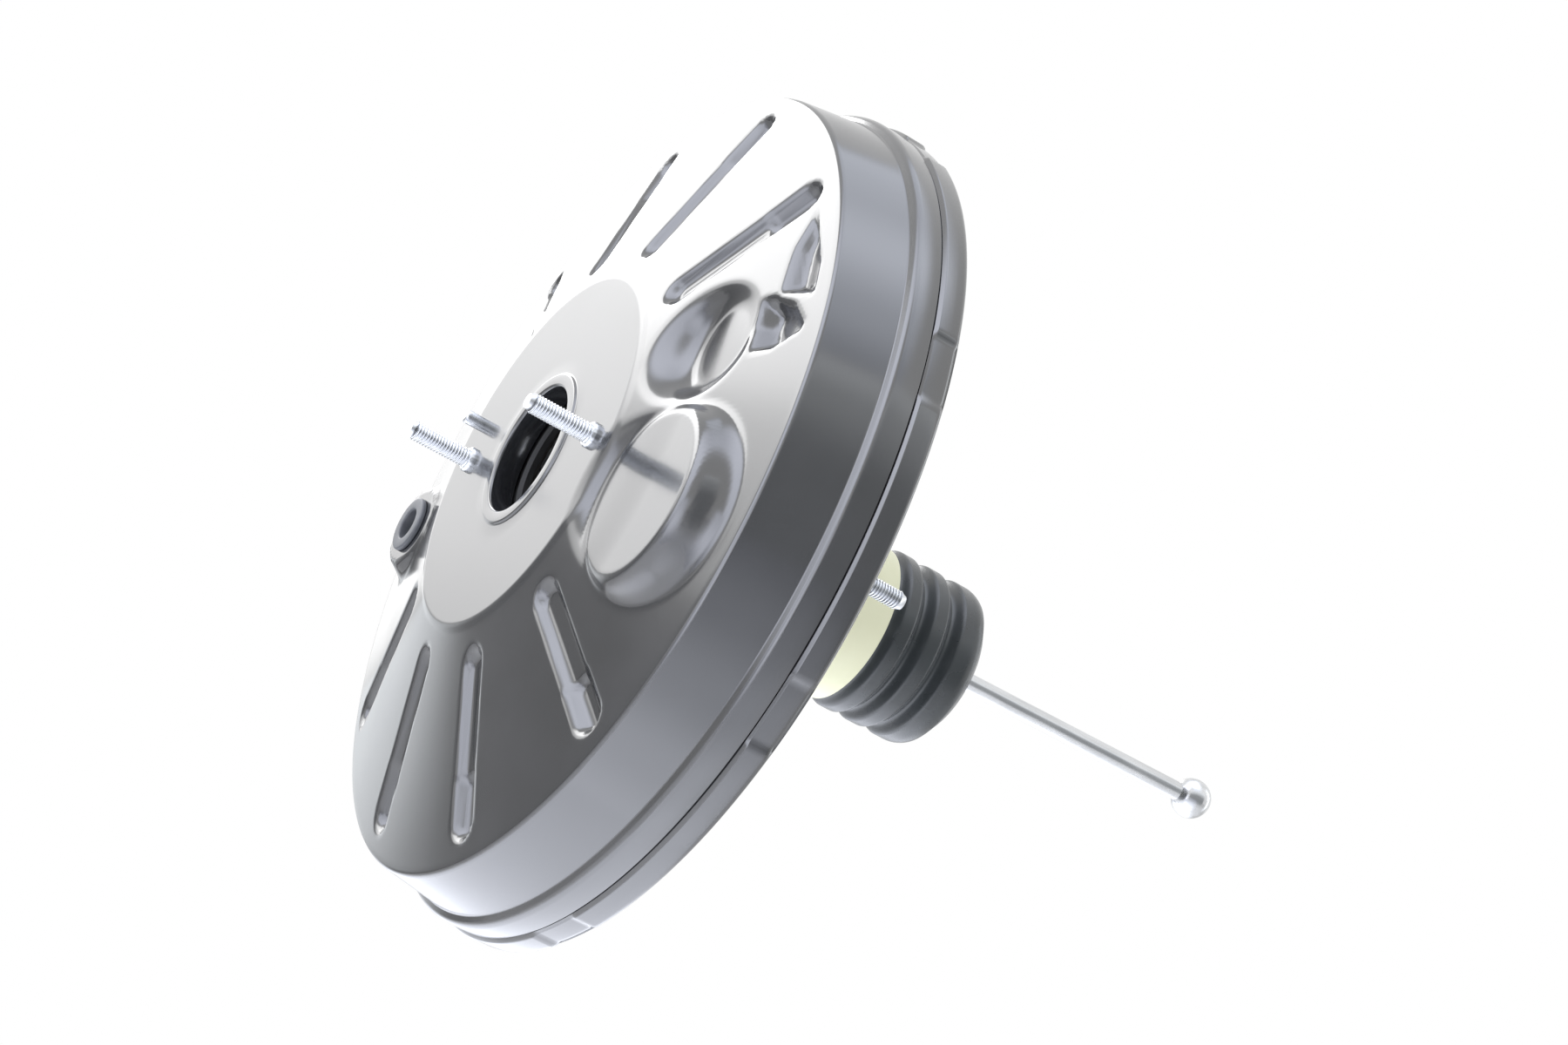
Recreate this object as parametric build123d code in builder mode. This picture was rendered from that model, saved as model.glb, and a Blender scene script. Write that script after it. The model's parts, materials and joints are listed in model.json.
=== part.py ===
"""Single-diaphragm vacuum brake booster, millimetres.

The booster's axis is Y. The master cylinder bolts to the front, at -Y, and the pedal
pushrod comes out of the rear, at +Y. Z is up. The origin is the centre of the rear face
that seats on the firewall.
"""
import os
from math import asin, cos, radians, sin, tan

from build123d import *

# ---------------------------------------------------------------- driving dimensions
# Pressed shells
sheet = 1.6                  # thickness of both pressed shells
rim_radius = 135.0           # outside of the rolled rim
hook_step = 1.0              # how far the rolled rim stands proud of the band in front of it
shoulder_height = 3.0        # outward step from the drum wall to the band
wall_flare = 3.3             # how much the drum wall opens towards the rear
crimp_gap = 0.1              # rolled rim to the skirt inside it
rear_depth = 22.0            # firewall face to the rear edge of the rim
hook_width = 8.8             # width of the rolled rim
rim_round = 2.4
band_width = 7.8             # width of the band in front of it
shoulder_length = 1.8        # length of the outward step
wall_depth = 20.3            # drum wall
dome_rise = 18.8             # front corner of the drum to the master cylinder pad
corner_round = 5.0           # front corner of the drum
pad_radius = 57.0            # flat pad that the master cylinder seats on
pad_step = 1.1               # the pad's raised edge
pad_step_width = 3.0         # radial width of that edge
lock_count = 8               # lock notches staked into the rolled rim
lock_angle = 17.0            # where the first one is, from +X towards +Z
lock_width = 9.0             # degrees that each one covers
lock_depth = 0.9             # how deep each one is

# Stiffening grooves pressed into the face
groove_count = 4             # on each side of the horizontal plane
groove_first_angle = 43.5
groove_pitch_angle = 32.0
groove_inner_radius = 65.0
groove_edge = 6.7            # from the outer ends of the grooves to the drum's front corner
groove_width = 11.0
groove_depth = 3.0
groove_pocket_length = 20.0  # deeper pocket at the outer end
groove_pocket_depth = 4.4
groove_pocket_width = 6.4
groove_floor_edge = 0.6      # floor left round the pocket

# Other pressed forms on the face
flat_edge = 40.7             # large round flat: its centre inside the drum's front corner
flat_angle = -12.3
flat_radius = 26.3
flat_drop = 5.0              # below the pad
flat_flank = 6.3             # radial width of its outer flank
flat_skirt = 11.7            # height of its outer flank
recess_edge = 42.2           # small round recess above it
recess_angle = 21.6
recess_radius = 14.7
recess_drop = 12.1           # below the pad
wall_slope = 30.0            # slope of pressed walls, degrees from the axis
gusset_points = [(8.2, 38.9), (15.2, 32.8), (17.4, 25.5), (5.9, 21.9), (5.6, 27.8)]
gusset_depth = 3.2           # points as distances inside the corner, and angles
dimple_points = [(24.7, 16.1), (26.6, 20.9), (24.8, 24.7), (21.0, 24.6), (12.2, 22.1), (5.8, 17.9),
                 (6.8, 16.3), (17.9, 15.0)]
dimple_depth = 4.6
press_slope = 35.0           # slope of the walls of the gusset and the dimple

# Master cylinder opening
opening_radius = 20.3
lip_height = 0.8             # rolled lip above the pad
lip_width = 3.7              # radial width of the rolled lip
opening_depth = 8.8          # length of the turned-in collar, from the lip

# Rear shell
step_inner_radius = 60.0     # edge of the flat firewall face
step_outer_radius = 66.0
step_drop = 6.4
rim_flat_width = 9.0         # flat behind the rim
neck_room = 3.5              # valve body's neck to the inside of the shell's neck
neck_length = 33.0
rear_sheet_neck = 1.5        # thickness of the neck

# Studs
thread_radius = 3.0          # M6
stud_point = 1.6             # length of the tapered point
stud_hole_gap = 0.1
front_stud_spacing = 90.0
front_stud_length = 22.0     # above the pad
stud_shank_radius = 4.0      # knurled shank pressed through the shell
stud_collar_height = 1.7     # how far the front studs' shanks stand above the pad
stud_collar_chamfer = 0.4
stud_head_radius = 6.0
stud_head_height = 3.2
rear_stud_circle = 96.0      # pitch circle diameter
rear_stud_count = 4
rear_stud_length = 28.0
front_plate = 3.0            # thickness of the front reinforcement plate
front_plate_radius = 54.0
rear_plate = 2.5             # thickness of the rear reinforcement plate
rear_plate_room = 2.5        # neck to the inner edge of the rear plate
rear_plate_outer = 57.0
seat_gap = 0.1               # between pieces that are clamped together

# Locating pin beside the left stud
pin_x = -50.0
pin_z = 13.0
pin_radius = 2.2
pin_length = 6.0

# Check valve grommet
grommet_place_radius = 92.0
grommet_angle = 190.0
grommet_bore = 5.0
grommet_neck = 7.5
grommet_flange = 9.0
grommet_flange_thick = 1.6
boss_radius = 13.0
boss_rise = 3.5
boss_flank = 5.0

# Front seal
seal_inner = 18.7
seal_outer = 24.0
seal_thick = 4.0
cup_sheet = 1.0              # seal retainer

# Power piston
stroke_room = 9.0            # firewall face to the rear of the valve body's flange
flange_radius = 38.0
flange_width = 13.0
flange_groove_floor = 34.0   # groove that holds the diaphragm and the plate
groove_rear_land = 3.2
body_neck_radius = 17.5
body_neck_end = 69.5
body_nose_radius = 20.0
body_nose_length = 14.0
filter_bore = 14.5           # rear bore of the valve body
filter_bore_floor = 12.0
chamber_bore = 10.5          # valve chamber
chamber_floor = -2.0
plunger_bore = 6.0
disc_bore = 12.1             # bore for the reaction disc
disc_bore_depth = 12.0

plate_sheet = 1.2
plate_flat_radius = 60.0
plate_dish = 6.5
plate_rim_length = 8.0
rubber = 1.8                 # diaphragm thickness
lip_rubber = 3.6             # diaphragm inner lip
roll_radius = 7.1            # mean radius of the diaphragm's rolling fold
roll_length = 10.0
roll_room = 4.4              # from the fold to the bead
bead_width = 5.1
bead_gap = 0.1

disc_thick = 4.0
rod_head_thick = 4.4
rod_head_gap = 0.2
output_rod_radius = 6.0
output_tip_radius = 4.5
output_step = 54.0           # firewall face to the step of the output rod
output_tip = 67.0            # firewall face to its tip
rod_hole_gap = 1.0
retainer_sheet = 1.2
retainer_flange = 34.0

spring_mean_radius = 28.5
spring_wire = 3.8            # wire diameter
spring_turns = 5.0

# Control valve
plunger_gap = 0.05           # running fit
reaction_gap = 1.6           # plunger to reaction disc, which is also its travel
key_thick = 2.5
key_front = -7.5
key_width = 16.0
key_reach = 22.0
key_play = 0.3
key_chamfer = 3.0
key_waist = 4.0              # radius of the plunger's waist in the key
seat_radius = 8.5
seat_thick = 3.5
socket_radius = 7.0
socket_end = 13.0
pivot_y = 8.0                # centre of the pushrod's inner ball
inner_ball = 4.0
ball_gap = 0.05
socket_mouth = 3.6
socket_flare = 4.6

poppet_inner = 7.8
poppet_outer = 10.2
poppet_face = 4.0
poppet_face_thick = 1.6
poppet_wall = 1.0
poppet_bead = 2.9
poppet_spring_radius = 8.2
poppet_spring_wire = 0.8
poppet_spring_turns = 4.0
poppet_retainer_thick = 1.6
poppet_retainer_inner = 6.6

input_spring_radius = 8.0
input_spring_wire = 1.4
input_spring_turns = 5.0
input_seat_distance = 27.0   # pivot to the spring seat on the pushrod
input_seat_radius = 9.2
input_seat_thick = 1.5
input_seat_tilt_room = 1.3

filter_inner = 11.0
filter_front = 40.0
filter_length = 12.5
silencer_length = 9.0 
filter_clip = 2.0
stack_gap = 0.2

# Neck fittings
bearing_front = 18.0
bearing_length = 6.0
seal_length = 8.0
seal_gap = 0.3
clip_thick = 1.0
neck_fit_gap = 0.1

# Neck sleeve and boot
sleeve_step = 3.0            # neck to the outside of the sleeve
sleeve_wall = 1.2
sleeve_front = 2.5
sleeve_end = 37.7
boot_lip_length = 10.5
boot_wall = 1.6
boot_crest_step = 1.0        # how far the crests stand outside the sleeve
boot_fold_depth = 3.1
boot_folds = 3
boot_fold_pitch = 10.5
boot_first_crest = 5.2       # sleeve end to the first crest
boot_mouth_lip = 2.7         # how far the boot's mouth turns in behind the valve body
boot_grip = 6.0              # how much of the valve body the boot's nose grips
boot_nose_thick = 3.3

# Input pushrod
rod_radius = 3.0
rod_length = 164.5           # between ball centres
rod_ball = 6.5
rod_lift = 1.0               # degrees above the axis at rest
rod_neck_radius = 2.6
rod_neck_length = 9.0

# ---------------------------------------------------------------- places worked out
rim_rear = -rear_depth
hook_front = rim_rear - hook_width
band_front = hook_front - band_width
wall_rear = band_front - shoulder_length
corner = wall_rear - wall_depth
pad = corner - dome_rise
pad_inside = pad + sheet
band_radius = rim_radius - hook_step
wall_rear_radius = band_radius - shoulder_height
wall_front_radius = wall_rear_radius - wall_flare
hook_inside = rim_radius - sheet
skirt_radius = hook_inside - crimp_gap
neck_radius = body_neck_radius + neck_room + rear_sheet_neck
rear_plate_inner = neck_radius + rear_plate_room
sleeve_radius = neck_radius + sleeve_step
boot_crest = sleeve_radius + boot_crest_step
boot_valley = boot_crest - boot_fold_depth
boot_mouth = body_neck_radius - boot_mouth_lip
skirt_inside = skirt_radius - sheet
pad_foot = pad_radius + pad_step_width
rim_flat_radius = rim_radius - rim_flat_width
groove_outer_radius = wall_front_radius - groove_edge
cone_rise = dome_rise - pad_step
cone_width = wall_front_radius - pad_foot
cone_slope = cone_rise / cone_width
lip_front = pad - lip_height
collar_end = lip_front + opening_depth
collar_outside = opening_radius + sheet

flange_rear = -stroke_room
flange_front = flange_rear - flange_width
nose_front = flange_front - body_nose_length
disc_floor = nose_front + disc_bore_depth
plate_rear = flange_rear - groove_rear_land - lip_rubber - seat_gap
plate_front = plate_rear - plate_sheet
plate_rim_rear = plate_rear - plate_dish
bead_inner = skirt_inside - bead_gap - bead_width
fold_outer = bead_inner - roll_room
fold_inner = fold_outer - 2 * roll_radius - rubber
plate_rim_radius = fold_inner - seat_gap
spring_front = pad_inside + front_plate + 2 * seat_gap
spring_rear = flange_front - retainer_sheet - seat_gap
sleeve_inside = sleeve_radius - sleeve_wall
wall_lean = tan(radians(wall_slope))
wall_grow = 1 / cos(radians(wall_slope)) - wall_lean


def cone_level(radius):
    """Place along the axis of the face's cone at a radius."""
    return corner - cone_slope * (wall_front_radius - radius)


def section(points, rounds=()):
    """Closed half section. Each point is (radius, place along the axis)."""
    with BuildSketch(Plane.XY) as half:
        with BuildLine():
            Polyline(*points, close=True)
        make_face()
        for place, radius in rounds:
            fillet(half.vertices().sort_by_distance(Vector(*place))[0], radius)
    return half.sketch


def ring(inner, outer, front, rear):
    """Half section of a plain ring."""
    return section([(inner, front), (outer, front), (outer, rear), (inner, rear)])


def facing_front(x, z, level):
    """Plane across the axis whose normal points to the front. Its X and Y are row X and Z."""
    return Plane(origin=(x, level, z), x_dir=(1, 0, 0), z_dir=(0, -1, 0))


def facing_rear(x, z, level):
    """Plane across the axis whose normal points to the rear. Its local Y is row -Z."""
    return Plane(origin=(x, level, z), x_dir=(1, 0, 0), z_dir=(0, 1, 0))


def coil(radius, wire, front, rear, turns):
    """Round-wire compression spring along the axis, between two seats."""
    height = rear - front - wire
    base = (0, front + wire / 2, 0)
    with BuildPart() as spring:
        with BuildLine() as path:
            Helix(pitch=height / turns, height=height, radius=radius, center=base, direction=(0, 1, 0))
        with BuildSketch(Plane(origin=path.line @ 0, z_dir=path.line % 0)):
            Circle(wire / 2)
        sweep(is_frenet=True)
    return spring.part


# ---------------------------------------------------------------- front shell
def on_face(edge, angle):
    """Place (x, z) of a pressed form, from its distance inside the drum's front corner."""
    radius = wall_front_radius - edge
    return radius * cos(radians(angle)), radius * sin(radians(angle))


flat_x, flat_z = on_face(flat_edge, flat_angle)
recess_x, recess_z = on_face(recess_edge, recess_angle)


def face_groove(angle, inset):
    """Solid that presses one stiffening groove, grown by the sheet for the inside."""
    middle = (groove_inner_radius + groove_outer_radius) / 2
    slope = asin(cone_slope / (1 + cone_slope**2) ** 0.5)
    run = (groove_outer_radius - groove_inner_radius) / cos(slope)
    along = Vector(cos(radians(angle)) * cos(slope), sin(slope), sin(radians(angle)) * cos(slope))
    out = Vector(cos(radians(angle)) * sin(slope), -cos(slope), sin(radians(angle)) * sin(slope))
    start = Vector(middle * cos(radians(angle)), cone_level(middle), middle * sin(radians(angle)))
    narrow = 2 * groove_depth * wall_lean - 2 * inset * wall_grow
    pocket_narrow = 2 * (groove_pocket_depth - groove_depth) * wall_lean - 2 * inset * wall_grow
    pocket_place = (run - groove_pocket_length - narrow) / 2 - groove_floor_edge
    with BuildPart() as groove:
        floor = Plane(origin=start - out * (groove_depth + inset), x_dir=along, z_dir=out)
        with BuildSketch(floor):
            SlotOverall(run - narrow, groove_width - narrow)
        extrude(amount=groove_depth + inset + sheet, taper=-wall_slope)
        low = start + along * pocket_place - out * (groove_pocket_depth + inset)
        with BuildSketch(Plane(origin=low, x_dir=along, z_dir=out)):
            SlotOverall(groove_pocket_length - pocket_narrow, groove_pocket_width - pocket_narrow)
        extrude(amount=groove_pocket_depth - groove_depth + sheet, taper=-wall_slope)
    return groove.part


def front_form(inset):
    """The drum's solid form. With no inset it is the outside, and with the sheet the inside."""
    grow = inset * wall_grow
    back = wall_rear + (sheet if inset else 0)
    flat_level = pad + flat_drop + inset
    recess_level = pad + recess_drop + inset
    boss_x = grommet_place_radius * cos(radians(grommet_angle))
    boss_z = grommet_place_radius * sin(radians(grommet_angle))
    boss_level = cone_level(grommet_place_radius) - boss_rise + inset
    with BuildPart() as form:
        outline = [
            (0, pad + inset),
            (pad_radius, pad + inset),
            (pad_foot, pad + pad_step + inset),
            (wall_front_radius - inset, corner + inset),
            (wall_rear_radius - inset, wall_rear),
            (wall_rear_radius - inset, back),
            (0, back),
        ]
        corner_place = (wall_front_radius - inset, corner + inset)
        outline = outline[:5] + outline[6:] if not inset else outline
        revolve(section(outline, [(corner_place, corner_round - inset)]), axis=Axis.Y)
        for number in range(groove_count):
            angle = groove_first_angle + number * groove_pitch_angle
            add(face_groove(angle, inset), mode=Mode.SUBTRACT)
            add(face_groove(-angle, inset), mode=Mode.SUBTRACT)
        with BuildSketch(facing_front(flat_x, flat_z, flat_level)):
            Circle(flat_radius + grow)
        extrude(amount=flat_drop + sheet, taper=-wall_slope, mode=Mode.SUBTRACT)
        with BuildSketch(facing_front(recess_x, recess_z, recess_level)):
            Circle(recess_radius + grow)
        extrude(amount=recess_drop + sheet, taper=-wall_slope, mode=Mode.SUBTRACT)
        with BuildSketch(facing_rear(flat_x, flat_z, flat_level)):
            Circle(flat_radius - inset)
        with BuildSketch(facing_rear(flat_x, flat_z, flat_level + flat_skirt)):
            Circle(flat_radius + flat_flank - inset)
        loft()
        for places, depth in ((gusset_points, gusset_depth), (dimple_points, dimple_depth)):
            points = [on_face(*place) for place in places]
            x = sum(point[0] for point in points) / len(points)
            z = sum(point[1] for point in points) / len(points)
            level = cone_level((x**2 + z**2) ** 0.5)
            with BuildSketch(facing_front(0, 0, level - depth / 2)) as mouth:
                with BuildLine():
                    Polyline(*points, close=True)
                make_face()
                offset(amount=inset, kind=Kind.INTERSECTION)
            extrude(amount=-(1.5 * depth + inset), taper=press_slope, mode=Mode.SUBTRACT)
            extrude(mouth.sketch, amount=depth, mode=Mode.SUBTRACT)
        with BuildSketch(facing_rear(boss_x, boss_z, boss_level)):
            Circle(boss_radius - inset)
        with BuildSketch(facing_rear(boss_x, boss_z, boss_level + 2 * boss_rise)):
            Circle(boss_radius + boss_flank - inset)
        loft()
    return form.part


def grommet_place():
    """Centre of the check valve grommet, on the top of its boss."""
    x = grommet_place_radius * cos(radians(grommet_angle))
    z = grommet_place_radius * sin(radians(grommet_angle))
    return x, z, cone_level(grommet_place_radius) - boss_rise


grommet_x, grommet_z, grommet_top = grommet_place()

with BuildPart() as front_shell:
    add(front_form(0))
    add(front_form(sheet), mode=Mode.SUBTRACT)
    skirt = [
        (wall_rear_radius, wall_rear),
        (band_radius, band_front),
        (band_radius, hook_front - hook_step),
        (skirt_radius, hook_front),
        (skirt_radius, rim_rear - sheet - seat_gap),
        (skirt_inside, rim_rear - sheet - seat_gap),
        (skirt_inside, hook_front - hook_step),
        (band_radius - sheet, hook_front - 2 * hook_step),
        (band_radius - sheet, band_front + sheet / 2),
        (wall_rear_radius - sheet, wall_rear + sheet / 2),
        (wall_rear_radius - sheet, wall_rear),
    ]
    revolve(section(skirt), axis=Axis.Y)
    with BuildSketch(facing_front(0, 0, pad_inside + sheet)):
        Circle(opening_radius)
        with Locations((-front_stud_spacing / 2, 0), (front_stud_spacing / 2, 0)):
            Circle(stud_shank_radius + stud_hole_gap)
        with Locations((pin_x, pin_z)):
            Circle(pin_radius)
    extrude(amount=3 * sheet, mode=Mode.SUBTRACT)
    lip = [
        (opening_radius, lip_front + lip_height),
        (opening_radius + lip_height, lip_front),
        (opening_radius + lip_width / 2, lip_front),
        (opening_radius + lip_width, pad),
        (opening_radius + lip_width, pad_inside),
        (collar_outside, pad_inside),
        (collar_outside, collar_end),
        (opening_radius, collar_end),
    ]
    revolve(section(lip), axis=Axis.Y)
    with BuildSketch(facing_front(grommet_x, grommet_z, grommet_top + 3 * sheet)):
        Circle(grommet_neck)
    extrude(amount=4 * sheet, mode=Mode.SUBTRACT)

# ---------------------------------------------------------------- rear shell
with BuildPart() as rear_shell:
    neck_inside = neck_radius - rear_sheet_neck
    outline = [
        (rim_radius, hook_front),
        (rim_radius, rim_rear),
        (rim_flat_radius, rim_rear),
        (step_outer_radius, -step_drop),
        (step_inner_radius, 0),
        (neck_radius, 0),
        (neck_radius, neck_length),
        (neck_inside, neck_length),
        (neck_inside, -sheet),
        (step_inner_radius - sheet / 2, -sheet),
        (step_outer_radius - sheet / 2, -step_drop - sheet),
        (rim_flat_radius, rim_rear - sheet),
        (hook_inside, rim_rear - sheet),
        (hook_inside, hook_front),
    ]
    revolve(section(outline, [((rim_radius, rim_rear), rim_round)]), axis=Axis.Y)
    with BuildSketch(facing_rear(0, 0, -2 * sheet)):
        with PolarLocations(rear_stud_circle / 2, rear_stud_count):
            Circle(stud_shank_radius + stud_hole_gap)
    extrude(amount=3 * sheet, mode=Mode.SUBTRACT)
    with BuildPart(mode=Mode.PRIVATE) as notch:
        revolve(
            ring(rim_radius - lock_depth, rim_radius + sheet, hook_front - sheet, rim_rear + sheet),
            axis=Axis.Y,
            revolution_arc=lock_width,
        )
    for number in range(lock_count):
        turn = -(lock_angle - lock_width / 2 + number * 360 / lock_count)
        add(notch.part.rotate(Axis.Y, turn - lock_width), mode=Mode.SUBTRACT)

# ---------------------------------------------------------------- reinforcement and studs
with BuildPart() as front_reinforcement_plate:
    with BuildSketch(facing_front(0, 0, pad_inside + seat_gap)):
        Circle(front_plate_radius)
        Circle(seal_outer + cup_sheet + 2 * seat_gap, mode=Mode.SUBTRACT)
        with Locations((-front_stud_spacing / 2, 0), (front_stud_spacing / 2, 0)):
            Circle(stud_shank_radius + stud_hole_gap, mode=Mode.SUBTRACT)
        with Locations((pin_x, pin_z)):
            Circle(pin_radius + stud_hole_gap, mode=Mode.SUBTRACT)
        with Locations((flat_x, flat_z)):
            Circle(flat_radius + sheet + flat_drop * wall_lean + seat_gap, mode=Mode.SUBTRACT)
    extrude(amount=-front_plate)

with BuildPart() as rear_reinforcement_plate:
    with BuildSketch(facing_front(0, 0, -sheet - seat_gap)):
        Circle(rear_plate_outer)
        Circle(rear_plate_inner, mode=Mode.SUBTRACT)
        with PolarLocations(rear_stud_circle / 2, rear_stud_count):
            Circle(stud_shank_radius + stud_hole_gap, mode=Mode.SUBTRACT)
    extrude(amount=rear_plate)


def stud(head_face, shoulder, tip):
    """One pressed-in stud on the axis: head inside the shell, shank, pointed thread outside."""
    outward = 1 if tip > head_face else -1
    outline = [
        (0, head_face - outward * stud_head_height),
        (stud_head_radius, head_face - outward * stud_head_height),
        (stud_head_radius, head_face),
        (stud_shank_radius, head_face),
        (stud_shank_radius, shoulder - outward * stud_collar_chamfer),
        (stud_shank_radius - stud_collar_chamfer, shoulder),
        (thread_radius, shoulder),
        (thread_radius, tip - outward * stud_point),
        (thread_radius - stud_point / 2, tip),
        (0, tip),
    ]
    with BuildPart() as one:
        revolve(section(outline), axis=Axis.Y)
    return one.part


front_head_face = pad_inside + seat_gap + front_plate + seat_gap
rear_head_face = -sheet - seat_gap - rear_plate - seat_gap
front_tip = pad - front_stud_length

with BuildPart() as front_studs:
    front_stud = stud(front_head_face, pad - stud_collar_height, front_tip)
    for x in (-front_stud_spacing / 2, front_stud_spacing / 2):
        add(front_stud.translate((x, 0, 0)))

with BuildPart() as rear_studs:
    rear_stud = stud(rear_head_face, 0, rear_stud_length)
    for place in PolarLocations(rear_stud_circle / 2, rear_stud_count):
        add(rear_stud.translate((place.position.X, 0, place.position.Y)))

with BuildPart() as locating_pin:
    pin_back = pad_inside + seat_gap + front_plate
    pin_outline = [
        (0, pad - pin_length),
        (pin_radius / 2, pad - pin_length),
        (pin_radius, pad - pin_length + pin_radius / 2),
        (pin_radius, pin_back),
        (0, pin_back),
    ]
    revolve(section(pin_outline), axis=Axis.Y)
    locating_pin.part = locating_pin.part.translate((pin_x, 0, pin_z))

# ---------------------------------------------------------------- seals in the front shell
with BuildPart() as check_valve_grommet:
    outer_face = grommet_top - seat_gap - grommet_flange_thick
    inner_face = grommet_top + sheet + seat_gap + grommet_flange_thick
    grommet_outline = [
        (grommet_bore, outer_face),
        (grommet_flange, outer_face),
        (grommet_flange, grommet_top - seat_gap),
        (grommet_neck, grommet_top - seat_gap),
        (grommet_neck, grommet_top + sheet + seat_gap),
        (grommet_flange, grommet_top + sheet + seat_gap),
        (grommet_neck, inner_face + grommet_flange_thick),
        (grommet_bore, inner_face + grommet_flange_thick),
    ]
    revolve(section(grommet_outline), axis=Axis.Y)
    check_valve_grommet.part = check_valve_grommet.part.translate((grommet_x, 0, grommet_z))

with BuildPart() as front_seal:
    seal_front = collar_end + seat_gap
    seal_rear = seal_front + seal_thick
    revolve(ring(seal_inner, seal_outer, seal_front, seal_rear), axis=Axis.Y)
    lips = front_seal.edges().filter_by(GeomType.CIRCLE).group_by(SortBy.RADIUS)[0]
    chamfer(lips, (seal_outer - seal_inner) / 5)

with BuildPart() as front_seal_retainer:
    cup_inside = seal_outer + seat_gap
    cup_rear = seal_rear + seat_gap
    cup = [
        (cup_inside, pad_inside + seat_gap),
        (cup_inside + cup_sheet, pad_inside + seat_gap),
        (cup_inside + cup_sheet, cup_rear + cup_sheet),
        (seal_inner + cup_sheet, cup_rear + cup_sheet),
        (seal_inner + cup_sheet, cup_rear),
        (cup_inside, cup_rear),
    ]
    revolve(section(cup), axis=Axis.Y)

# ---------------------------------------------------------------- power piston
with BuildPart() as valve_body:
    outline = [
        (body_neck_radius, body_neck_end),
        (body_neck_radius, flange_rear),
        (flange_radius, flange_rear),
        (flange_radius, flange_rear - groove_rear_land),
        (flange_groove_floor, flange_rear - groove_rear_land),
        (flange_groove_floor, plate_front - seat_gap),
        (flange_radius, plate_front - seat_gap),
        (flange_radius, flange_front),
        (body_nose_radius, flange_front),
        (body_nose_radius, nose_front),
        (disc_bore, nose_front),
        (disc_bore, disc_floor),
        (plunger_bore, disc_floor),
        (plunger_bore, chamber_floor),
        (chamber_bore, chamber_floor),
        (chamber_bore, filter_bore_floor),
        (filter_bore, filter_bore_floor),
        (filter_bore, body_neck_end),
    ]
    revolve(section(outline), axis=Axis.Y)
    slot_rear = key_front + key_thick + key_play
    with BuildSketch(facing_rear(0, 0, key_front - key_play)):
        Rectangle(4 * body_neck_radius, key_width + key_play)
    extrude(amount=slot_rear - key_front + key_play, mode=Mode.SUBTRACT)

with BuildPart() as diaphragm_plate:
    outline = [
        (flange_groove_floor + seat_gap, plate_rear),
        (plate_flat_radius, plate_rear),
        (plate_rim_radius - plate_sheet, plate_rim_rear),
        (plate_rim_radius, plate_rim_rear - plate_sheet),
        (plate_rim_radius, plate_rim_rear - plate_rim_length),
        (plate_rim_radius - plate_sheet, plate_rim_rear - plate_rim_length),
        (plate_rim_radius - plate_sheet, plate_rim_rear - 1.5 * plate_sheet),
        (plate_flat_radius, plate_front),
        (flange_groove_floor + seat_gap, plate_front),
    ]
    revolve(section(outline), axis=Axis.Y)

with BuildPart() as diaphragm:
    skin = plate_rear + seat_gap
    rim_skin = plate_rim_rear + seat_gap
    fold_front = rim_skin - roll_length
    roll_centre = fold_inner + rubber / 2 + roll_radius
    bead_rear = rim_rear - sheet - 2 * bead_gap
    bead_front = band_front + sheet / 2 + 4 * bead_gap
    web = (bead_front + bead_rear) / 2
    disc = [
        (flange_groove_floor + seat_gap, skin),
        (plate_flat_radius, skin),
        (plate_rim_radius - plate_sheet, rim_skin),
        (fold_inner, rim_skin - plate_sheet),
        (fold_inner, fold_front),
        (fold_inner + rubber, fold_front),
        (fold_inner + rubber, rim_skin),
        (plate_rim_radius, rim_skin + rubber),
        (plate_flat_radius, skin + rubber),
        (flange_radius + rubber, skin + rubber),
        (flange_radius + seat_gap, skin + lip_rubber - 2 * seat_gap),
        (flange_groove_floor + seat_gap, skin + lip_rubber - 2 * seat_gap),
    ]
    revolve(section(disc), axis=Axis.Y)
    with BuildSketch(Plane.XY) as fold:
        with Locations((roll_centre, fold_front)):
            Circle(roll_radius + rubber / 2)
            Circle(roll_radius - rubber / 2, mode=Mode.SUBTRACT)
        with Locations((roll_centre, fold_front)):
            Rectangle(4 * roll_radius, 2 * roll_radius, align=(Align.CENTER, Align.MIN), mode=Mode.SUBTRACT)
    revolve(fold.sketch, axis=Axis.Y)
    outer_leg = [
        (fold_outer - rubber, fold_front),
        (fold_outer, fold_front),
        (fold_outer, web - rubber),
        (bead_inner, web - rubber),
        (bead_inner, bead_front),
        (skirt_inside - bead_gap, bead_front),
        (skirt_inside - bead_gap, bead_rear),
        (bead_inner, bead_rear),
        (bead_inner, web),
        (fold_outer - rubber, web),
    ]
    revolve(section(outer_leg), axis=Axis.Y)

with BuildPart() as reaction_disc:
    disc_rear = disc_floor - seat_gap
    disc_front = disc_rear - disc_thick
    revolve(ring(0, disc_bore - seat_gap, disc_front, disc_rear), axis=Axis.Y)

with BuildPart() as output_pushrod:
    head_rear = disc_front - seat_gap
    head_front = head_rear - rod_head_thick
    outline = [
        (0, head_rear),
        (disc_bore - rod_head_gap, head_rear),
        (disc_bore - rod_head_gap, head_front),
        (output_rod_radius, head_front),
        (output_rod_radius, -output_step),
        (output_tip_radius, -output_step - (output_rod_radius - output_tip_radius)),
        (output_tip_radius, -output_tip),
        (0, -output_tip),
    ]
    revolve(section(outline, [((output_tip_radius, -output_tip), output_tip_radius / 2)]), axis=Axis.Y)

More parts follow.
